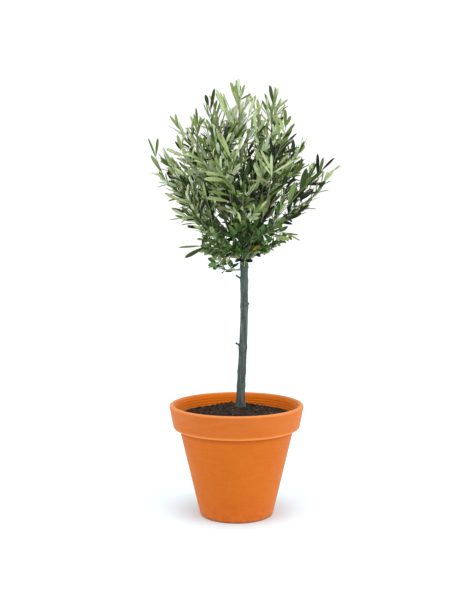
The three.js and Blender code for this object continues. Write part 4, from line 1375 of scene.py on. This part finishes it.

# %% [markdown]
# A few shoots give this plant its face, and they are listed one by one: two pale ones in front and one
# that crosses them, broad leaves standing at the right, long thin leaves low on both sides, small
# dark shoots round the fork with one yellowed leaf, and the leading shoots that make the head's
# ragged top and sides. Each leaves a limb and bends once. Its leaves are given by their place on the
# shoot, the point their tip reaches, their width and their tint, and no leaf is longer than a real
# one. A leaf of another kind than its shoot's says so at the end.

# %% Shoots listed one by one
FACE = unit(np.array([0.0, -0.8, 0.6]))
SHOOT_ROOT = {"trunk": 1.5, "bough": 1.3}
HAND = {"seed": 77, "past_shoot": 0.02, "bend": (0.2, 0.3)}
SHOOTS_BY_HAND = [
    {"on": "front_left", "at": 0.8, "kind": "lance", "way": [(-9, -112, 648), (-15, -132, 736)],
     "leaves": [
        (0.48, -40, -102, 661, 9, 6), (0.6, -63, -115, 681, 9, 4), (0.68, -54, -122, 693, 8, 3),
        (0.86, -65, -132, 720, 10, 4), (0.9, -63, -136, 731, 6.5, 4), (0.94, -43, -138, 756, 9, 1),
        (0.72, 9, -125, 723, 6, 1), (0.98, -1, -140, 769, 6.5, 2), (1.0, -25, -141, 773, 7, 3),
    ]},
    {"on": "front_right", "at": 0.84, "kind": "lance", "way": [(27, -124, 689), (-14, -138, 761)],
     "leaves": [
        (1.0, -41, -140, 807, 6, 3), (0.96, -29, -138, 803, 5.5, 4), (0.92, 12, -144, 796, 4.5, 4),
        (0.88, -34, -141, 778, 6.5, 1), (0.74, -21, -131, 730, 5, 0), (0.68, 25, -126, 754, 7.5, 1),
        (0.5, -1, -107, 706, 6, 0),
    ]},
    {"on": "front_right", "at": 0.8, "kind": "lance", "way": [(59, -110, 666), (72, -134, 728)],
     "leaves": [
        (0.86, 40, -133, 723, 5.5, 6), (0.96, 44, -141, 758, 6, 5), (1.0, 47, -141, 774, 5.5, 4),
        (0.92, 69, -138, 765, 5.5, 5), (1.0, 118, -142, 754, 7, 5), (0.8, 100, -128, 738, 5.5, 1),
        (0.66, 99, -116, 703, 5, 2), (0.34, 67, -81, 681, 11, 6), (0.4, 51, -88, 691, 7, 2),
    ]},
    {"on": "right", "at": 0.3, "kind": "lance", "way": [(85, -74, 644), (99, -80, 654)],
     "leaves": [
        (0.92, 114, -85, 631, 8, 0), (0.8, 85, -72, 668, 8, 1, "oval"),
    ]},
    {"on": "right", "at": 0.55, "kind": "lance", "way": [(93, -70, 648), (136, -78, 701)],
     "leaves": [
        (0.3, 117, -44, 628, 8.5, 0), (0.66, 120, -73, 714, 11, 3), (0.62, 140, -71, 697, 7, 0),
        (0.8, 167, -81, 696, 8, 0), (0.92, 142, -85, 741, 11, 1), (0.86, 156, -83, 725, 8, 2),
        (1.0, 175, -84, 736, 9, 1),
    ]},
    {"on": "left", "at": 0.3, "kind": "lance", "way": [(-65, -60, 623), (-104, -68, 641)],
     "leaves": [
        (1.0, -139, -74, 636, 4.5, 3), (0.84, -112, -71, 663, 8, 2), (0.46, -73, -48, 587, 9.5, 1),
        (0.42, -64, -40, 598, 8, 2, "oval"), (0.7, -92, -64, 652, 7, 3),
    ]},
    {"on": "trunk", "at": 548, "kind": "lance", "way": [(-30, -40, 575), (-68, -46, 582)],
     "leaves": [
        (1.0, -121, -52, 580, 4.5, 2), (0.96, -108, -54, 557, 9, 1), (0.44, -31, -34, 546, 7, 6),
        (0.66, -62, -45, 599, 7, 2),
    ]},
    {"on": "trunk", "at": 562, "kind": "lance", "way": [(62, -40, 594), (91, -46, 613)],
     "leaves": [
        (1.0, 134, -52, 594, 4.5, 3), (0.94, 129, -50, 605, 4.5, 2), (0.8, 113, -49, 597, 9, 4),
        (0.96, 107, -50, 623, 8, 1, "oval"),
    ]},
    {"on": "trunk", "at": 552, "kind": "oval", "way": [(24, -40, 565), (34, -66, 573)],
     "leaves": [
        (1.0, 47, -71, 585, 8.5, 4),
    ]},
    {"on": "trunk", "at": 556, "kind": "oval", "way": [(7, -40, 582), (-7, -62, 605)],
     "leaves": [
        (0.9, -26, -62, 609, 10, 1), (0.86, 9, -59, 619, 10, 0), (0.82, -22, -57, 595, 9, 0),
        (0.7, 16, -50, 601, 10, 1), (0.4, -14, -31, 575, 9, 2), (0.44, 24, -34, 588, 10, 0),
        (1.0, -15, -67, 626, 9, 1), (0.96, 1, -64, 626, 9, 2),
    ]},
    {"on": "trunk", "at": 560, "kind": "oval", "way": [(32, -44, 594), (40, -64, 621)],
     "leaves": [
        (0.82, 24, -59, 630, 10, 1), (0.96, 57, -67, 634, 10, 0), (0.74, 57, -54, 611, 9, 2),
        (0.5, 26, -39, 611, 9, 1), (0.68, 57, -49, 597, 10, 0), (0.1, 22, -12, 577, 9, 1),
        (1.0, 42, -69, 644, 9, 1),
    ]},
    {"on": "trunk", "at": 540, "kind": "oval", "way": [(3, -30, 565), (-14, -44, 574)],
     "leaves": [
        (1.0, -32, -49, 582, 9, 1), (0.9, -24, -45, 559, 9, 0), (0.38, -3, -23, 548, 8, 1),
        (0.62, 5, -33, 577, 9, 0),
    ]},
    {"on": "trunk", "at": 534, "kind": "oval", "way": [(16, -24, 546), (20, -34, 559)],
     "leaves": [
        (1.0, 7, -39, 573, 9, 1), (0.74, 35, -32, 550, 9, 0), (0.22, 26, -14, 535, 8, 2),
        (0.64, 1, -28, 554, 9, 0),
    ]},
    {"on": "trunk", "at": 546, "kind": "oval", "way": [(28, -26, 569), (43, -40, 580)],
     "leaves": [
        (1.0, 62, -45, 576, 9, 1), (0.68, 51, -33, 559, 9, 0), (0.1, 20, -9, 558, 8, 1),
        (0.9, 47, -41, 596, 9, 2),
    ]},
    {"on": "trunk", "at": 536, "kind": "lance", "way": [(12, -12, 544), (7, -14, 546)],
     "leaves": [
        (1.0, -13, -22, 535, 6.5, 0),
    ]},
    {"on": "top", "stem": 0.86, "kind": "lance", "way": [(2, -30, 888), (0, -32, 896)],
     "leaves": [
        (0.2, -12, -38, 921, 8.5, 3), (0.44, -3, -36, 914, 8, 3), (0.74, 8, -34, 914, 7.5, 2),
        (1.0, 0, -32, 926, 5.5, 4), (0.5, 30, -34, 897, 5, 2), (0.3, 16, -40, 915, 6, 3),
        (0.66, -9, -40, 903, 7, 3),
    ]},
    {"on": "top_right", "stem": 0.6, "kind": "lance", "way": [(75, 6, 864), (77, 4, 880)],
     "leaves": [
        (1.0, 70, 0, 920, 8.5, 1), (0.84, 83, 2, 916, 5, 3), (0.64, 60, -1, 903, 6.5, 2),
        (0.48, 54, 1, 889, 6.5, 2), (0.52, 94, 1, 893, 6, 3),
    ]},
    {"on": "top_left", "stem": 0.8, "kind": "lance", "way": [(-55, 30, 867), (-60, 28, 877)],
     "leaves": [
        (1.0, -66, 24, 903, 8, 1), (0.8, -47, 26, 917, 7.5, 1), (0.5, -42, 25, 893, 6, 2),
        (0.3, -33, 28, 892, 5.5, 3),
    ]},
    {"on": "upper_front_right", "stem": 0.75, "kind": "lance", "way": [(94, -114, 800), (99, -112, 822)],
     "leaves": [
        (1.0, 108, -112, 843, 6.5, 2), (0.92, 97, -110, 856, 7.5, 2), (0.8, 87, -110, 838, 7, 4),
        (0.62, 116, -114, 828, 6.5, 2), (0.5, 81, -112, 832, 6, 3), (0.32, 121, -110, 809, 5.5, 0),
        (0.4, 110, -108, 817, 7, 1),
    ]},
    {"on": "upper_left", "stem": 0.6, "kind": "lance", "way": [(-85, -12, 804), (-81, -14, 831)],
     "leaves": [
        (1.0, -85, -14, 871, 5.5, 2), (0.94, -67, -16, 850, 6, 2), (0.9, -97, -12, 855, 6, 4),
        (0.78, -89, -18, 859, 6, 3), (0.7, -75, -12, 852, 7, 3), (0.5, -105, -16, 830, 5, 1),
        (0.34, -64, -14, 816, 5, 2), (0.4, -97, -18, 820, 6.5, 3),
    ]},
    {"on": "left", "stem": 0.8, "kind": "lance", "way": [(-166, -10, 756), (-170, -12, 768)],
     "leaves": [
        (0.9, -185, -14, 809, 4.5, 2), (0.3, -179, -16, 773, 8, 3), (1.0, -165, -16, 808, 6, 2),
    ]},
    {"on": "right", "stem": 0.75, "kind": "lance", "way": [(171, -20, 737), (177, -22, 738)],
     "leaves": [
        (1.0, 205, -24, 766, 6, 0), (0.7, 182, -26, 767, 7, 2), (0.64, 170, -26, 775, 7.5, 0),
    ]},
]


def limb_place(shoot):
    """Where a shoot leaves its limb: a height on the trunk, or a share of a bough or a mass's stem."""
    if shoot["on"] == "trunk":
        return trunk_point(shoot["at"] - trunk_foot_z)
    mass = MASS_NAMED[shoot["on"]]
    if "stem" not in shoot:
        return mass["curve"].at(shoot["at"])
    mass["stem_shoot"]["end"] = max(mass["stem_shoot"]["end"], shoot["stem"] + HAND["past_shoot"])
    return mass["stem"].at(shoot["stem"])


def grow_by_hand(shoot, random):
    bend, end = (np.array(point, float) for point in shoot["way"])
    curve = bent(limb_place(shoot), bend, end)
    root = SHOOT_ROOT["trunk" if shoot["on"] == "trunk" else "bough"]
    keep_shoot(curve, root, TWIG["tip"], max(share for share, *_ in shoot["leaves"]))
    for share, x, y, z, width, tint, *other_kind in shoot["leaves"]:
        start = curve.at(share)
        reach = np.array([x, y, z], float) - start
        along = unit(reach)
        across = unit(np.cross(FACE, along))
        row = np.concatenate([start, along, np.cross(along, across), [np.linalg.norm(reach), width]])
        kind = other_kind[0] if other_kind else shoot["kind"]
        leaf_rows[kind].append((row, varied(random, *HAND["bend"]), random(), tint, None))


hand = seeded_random(HAND["seed"])
for shoot in SHOOTS_BY_HAND:
    grow_by_hand(shoot, hand)
print(len(SHOOTS_BY_HAND), "shoots set by hand")

# %% [markdown]
# Twigs are thin tubes, slightly swollen at every other ring as at the pairs of leaves, and each
# ends at its last leaf or side shoot. They all join into one piece: there are too many to keep
# apart, and they share one green-brown finish.

# %% Twigs
NODE_PITCH = 9.0
SWELLING = {"at_leaves": 1.12, "between": 0.96}
TWIG_TAPER = 0.8
THICK_TWIG = 1.4           # from this radius up a twig has more sides
TWIG_SIDES = {"thick": 7, "thin": 5}
LEAST_RINGS = 4


def twig_material():
    rind = Finish("Twig rind", linear(156, 156, 118), 0.7, Specular_IOR_Level=0.35)
    streaks = rind.group(MOTTLING, Scale=180, Sharpness=0.3, Roughness=0.6)
    rind.feed("Base Color", rind.mixed(streaks, linear(116, 106, 78), linear(160, 160, 122)))
    rind.feed("Roughness", rind.ranged(streaks, 0.6, 0.8))
    rind.bump((rind.group(GRAIN, Scale=1200, Detail=3), 0.4, 0.0003))
    return rind.material


def twig_piece():
    gathered = Gathered()
    for shoot in shoots:
        if shoot["end"] == 0:
            continue
        rings = max(LEAST_RINGS, int(shoot["end"] * shoot["curve"].length / NODE_PITCH) + 1)
        radii = lerp(shoot["root"], shoot["tip"], np.linspace(0, 1, rings) ** TWIG_TAPER)
        radii *= np.where(np.arange(rings) % 2, SWELLING["at_leaves"], SWELLING["between"])
        sides = TWIG_SIDES["thick" if shoot["root"] > THICK_TWIG else "thin"]
        gathered.add(*tube(shoot["curve"], radii, sides, shoot["end"]))
    return gathered.piece("twigs", [twig_material()])


dress(twig_piece(), "bark")

# %% [markdown]
# A leaf is a closed blade of a few faces. It has its own outline, from a narrow stalk to the
# widest part and a pointed or a round tip, and a shallow channel along the midrib. Each blade
# bends back and twists a little. All the blades of a kind are worked out together: the outline is a
# small table of shares, and every leaf's numbers stretch, bend and place it.

# %% Leaf blades
OUTLINES = {
    "lance": {"run": [0.0, 0.08, 0.24, 0.46, 0.7, 0.9, 1.0],
              "half": [0.1, 0.16, 0.62, 0.94, 1.0, 0.68, 0.0]},
    "oval": {"run": [0.0, 0.09, 0.24, 0.46, 0.7, 0.9, 1.0],
             "half": [0.12, 0.2, 0.78, 1.0, 0.92, 0.5, 0.0]},
}
AROUND = 6                                 # points round a blade at each station
UPPER_STRIPS = 4                           # of the strips between them, the first ones face up
COLUMNS = [-1, -0.5, 0, 0.5, 1, 0]         # five across the upper side, one keel below
CHANNEL = [0.2, 0.17, 0.0, 0.17, 0.2, -0.12]
IS_KEEL = [0, 0, 0, 0, 0, 1]
KEEL = 0.22
BENDS = (-0.25, 0.75)
LEAST_BEND = 0.02
TWISTS = (-0.55, 0.55)


def blade_faces(stations):
    """Triangles of one blade, with 0 for its upper and 1 for its under side."""
    faces, sides = [], []
    for ring in range(stations - 2):
        a, b = ring * AROUND, (ring + 1) * AROUND
        for c in range(AROUND):
            d = (c + 1) % AROUND
            side = 0 if c < UPPER_STRIPS else 1
            faces += [(a + c, a + d, b + d), (a + c, b + d, b + c)]
            sides += [side, side]
    last, tip = (stations - 2) * AROUND, (stations - 1) * AROUND
    for c in range(AROUND):
        faces.append((last + c, last + (c + 1) % AROUND, tip))
        sides.append(0 if c < UPPER_STRIPS else 1)
    faces += [(0, 5, 4), (0, 4, 3), (0, 3, 2), (0, 2, 1)]
    sides += [1, 1, 1, 1]
    return np.array(faces), np.array(sides)


def blades(kind, rows):
    """Points of all the blades of a kind, one row of points for each leaf."""
    numbers = np.array([row for row, *_ in rows])
    root, along, normal = numbers[:, 0:3], numbers[:, 3:6], numbers[:, 6:9]
    length, half_width = numbers[:, 9], (numbers[:, 10] / 2)[:, None]
    bend = lerp(*BENDS, np.array([row[1] for row in rows]))
    bend = np.where(np.abs(bend) < LEAST_BEND, LEAST_BEND, bend)
    twist = lerp(*TWISTS, np.array([row[2] for row in rows]))
    across = np.cross(along, normal)
    run, half = (np.array(OUTLINES[kind][key]) for key in ("run", "half"))
    stations = len(run) - 1
    u = np.append(np.repeat(run[:-1], AROUND), 1.0)
    v, rise = (np.append(np.tile(shares, stations) * np.repeat(half[:-1], AROUND), 0.0)
               for shares in (COLUMNS, CHANNEL))
    keel = np.append(np.tile(IS_KEEL, stations), 0)
    curl, turn = bend[:, None] * u, twist[:, None] * u
    steady = (length / bend)[:, None]
    forward = steady * np.sin(curl)
    back = -steady * (1 - np.cos(curl))
    up_here = np.cos(curl)[..., None] * normal[:, None] + np.sin(curl)[..., None] * along[:, None]
    side_here = np.cos(turn)[..., None] * across[:, None] + np.sin(turn)[..., None] * up_here
    top_here = np.cos(turn)[..., None] * up_here - np.sin(turn)[..., None] * across[:, None]
    points = root[:, None] + forward[..., None] * along[:, None] + back[..., None] * normal[:, None]
    points = points + (v * half_width)[..., None] * side_here
    return points + (rise * half_width - keel * KEEL)[..., None] * top_here


# %% [markdown]
# The upper side of an olive leaf is a waxy grey-green and the under side a matt silver, which is
# why the tree seems to flicker. Young shoots are yellower, old inner leaves nearly black-green. A
# leaf's colour belongs to its spray, so each spray is dealt one of a few plain tints, darker low
# down and deep in the head and paler at the top and the outside, which is partly the leaves' age
# and partly painted shade and painted light. A few leaves differ from their own spray.

# %% Leaf tints
TINTS = {
    "lance": [
        {"name": "deep green", "upper": (10, 22, 3), "under": (46, 62, 26)},
        {"name": "olive green", "upper": (48, 69, 12), "under": (101, 118, 62)},
        {"name": "grey green", "upper": (91, 112, 45), "under": (149, 163, 108)},
        {"name": "sage", "upper": (131, 149, 84), "under": (182, 193, 141)},
        {"name": "young green", "upper": (163, 177, 114), "under": (199, 209, 163)},
        {"name": "pale green", "upper": (178, 193, 144), "under": (203, 213, 180)},
        {"name": "tawny", "upper": (130, 126, 84), "under": (158, 154, 118)},
    ],
    "oval": [
        {"name": "dark green", "upper": (14, 34, 6), "under": (62, 86, 42)},
        {"name": "fresh green", "upper": (56, 92, 24), "under": (108, 132, 78)},
        {"name": "dull green", "upper": (90, 114, 52), "under": (140, 156, 110)},
        {"name": "light green", "upper": (136, 156, 86), "under": (175, 188, 138)},
        {"name": "yellowed", "upper": (164, 126, 40), "under": (180, 148, 76)},
    ],
}
DEALT = {"lance": 6, "oval": 4}      # the tints after these are for the listed leaves
SPRAY_SEED = 31
LEVEL_REACH = 340                    # a level is a tint's number, by the share of this height
# the levels paint light and shade: paler tints high in the head, darker ones low down
LEVEL_HEIGHTS = [0, 0.28, 0.45, 0.6, 0.75, 0.9, 1.05]
LEVELS = [-0.3, -0.2, 1.2, 1.6, 2.9, 3.6, 4.0]
TOP_PAINTED_LIGHT_FROM = [0.45, 0.8]
TOP_PAINTED_LIGHT = [0.0, 0.85]
CALM_FROM = [0.5, 0.9]
CALM = [1.0, 0.86]
LOW_FROM = [0.0, 0.15]               # the small leaves nearest the fork are painted paler, as light from below
LOW_PAINTED_LIGHT = [0.4, 0.0]
OUTER_PAINTED_LIGHT = 2.2
RIGHT_PAINTED_SHADE = {"most": 2.2, "lost": 2.1, "reach": 160}     # the right side is painted darker, as shade
LUCK = {"lance": (3.8, 5.8), "oval": (1.4, 1.5)}           # of the spray, and of the leaf
OVAL_LEVEL = {"least": 0.5, "outer": 0.5}
LEAF_SIDES = {
    "upper": {"roughness": (0.42, 0.6), "Specular_IOR_Level": 0.32, "depth": 0.00025},
    "under": {"roughness": (0.72, 0.88), "Specular_IOR_Level": 0.2, "depth": 0.0002},
}


def leaf_finish(name, colour, side):
    """A plain tint, with a highlight broken by fine veining and wax."""
    low, high = side["roughness"]
    leaf = Finish(name, linear(*colour), low, Specular_IOR_Level=side["Specular_IOR_Level"])
    veins = leaf.group(GRAIN, Scale=640, Detail=4)
    leaf.feed("Roughness", leaf.ranged(veins, low, high))
    leaf.bump((veins, 0.5, side["depth"]))
    return leaf.material


def leaf_materials(kind):
    """For each tint its upper and then its under side."""
    return [leaf_finish(f"{tint['name']} {side}", tint[side], LEAF_SIDES[side])
            for tint in TINTS[kind] for side in LEAF_SIDES]


def dealt_tints(kind, rows):
    """A tint number for each leaf: by its spray's place, which paints light and shade, and by luck, with a
    few leaves gone astray.
    """
    tints = []
    for row, _, _, shade, spray in rows:
        if spray is None:
            tints.append(shade)      # given in the list of shoots
            continue
        luck, own_luck = seeded_random(spray + SPRAY_SEED)(), shade - 0.5
        place = row[0:3] - hub
        out = np.hypot(place[0], place[1]) / np.interp(place[2], OUTLINE_HEIGHTS, OUTLINE_WIDTHS)
        height = place[2] / LEVEL_REACH
        of_spray, of_leaf = LUCK[kind]
        if kind == "lance":
            # painted light towards the outside and the top, and painted shade on the right
            outer = max(out, np.interp(height, TOP_PAINTED_LIGHT_FROM, TOP_PAINTED_LIGHT))
            shaded = (RIGHT_PAINTED_SHADE["most"] - RIGHT_PAINTED_SHADE["lost"] * height) * place[0] / RIGHT_PAINTED_SHADE["reach"]
            level = np.interp(height, LEVEL_HEIGHTS, LEVELS)
            level += OUTER_PAINTED_LIGHT * outer - shaded
            level += (of_spray * (luck - 0.5) + of_leaf * own_luck) * np.interp(height, CALM_FROM, CALM)
        else:
            # painted light towards the outside
            level = OVAL_LEVEL["least"] + of_spray * luck + of_leaf * own_luck + OVAL_LEVEL["outer"] * out
            # painted light from below on the small leaves near the fork
            level += np.interp(height, LOW_FROM, LOW_PAINTED_LIGHT)
        tints.append(int(np.clip(level, 0, DEALT[kind] - 1)))
    return np.array(tints)


# %% Leaf pieces
HALVES = {"left": lambda x: x < hub[0], "right": lambda x: x >= hub[0]}
MARGINS = [1, 0, 0, 0, 2, 0]         # the two columns of a blade that lie on its margins


def leaf_piece(name, kind, rows, materials):
    points = blades(kind, rows)
    faces, sides = blade_faces(len(OUTLINES[kind]["run"]))
    per_leaf = points.shape[1]
    all_faces = (faces[None] + per_leaf * np.arange(len(rows))[:, None, None]).reshape(-1, 3)
    slots = (2 * dealt_tints(kind, rows)[:, None] + sides[None]).ravel()
    margins = np.append(np.tile(MARGINS, per_leaf // AROUND), 0)
    return mesh_from_arrays(
        name, points.reshape(-1, 3), all_faces, materials, slots, sharp=np.tile(margins, len(rows)))


for kind, slot in (("lance", "lance_leaves"), ("oval", "oval_leaves")):
    kind_materials = leaf_materials(kind)
    for half, belongs in HALVES.items():
        rows = [row for row in leaf_rows[kind] if belongs(row[0][0])]
        nodes = [f"foliage_{mass['name']}" for mass in MASSES
                 if mass["leaf"] == kind and belongs((hub + mass["axis"] * mass["reach"])[0])]
        dress(leaf_piece(f"{kind}_leaves_{half}", kind, rows, kind_materials), slot, *nodes)
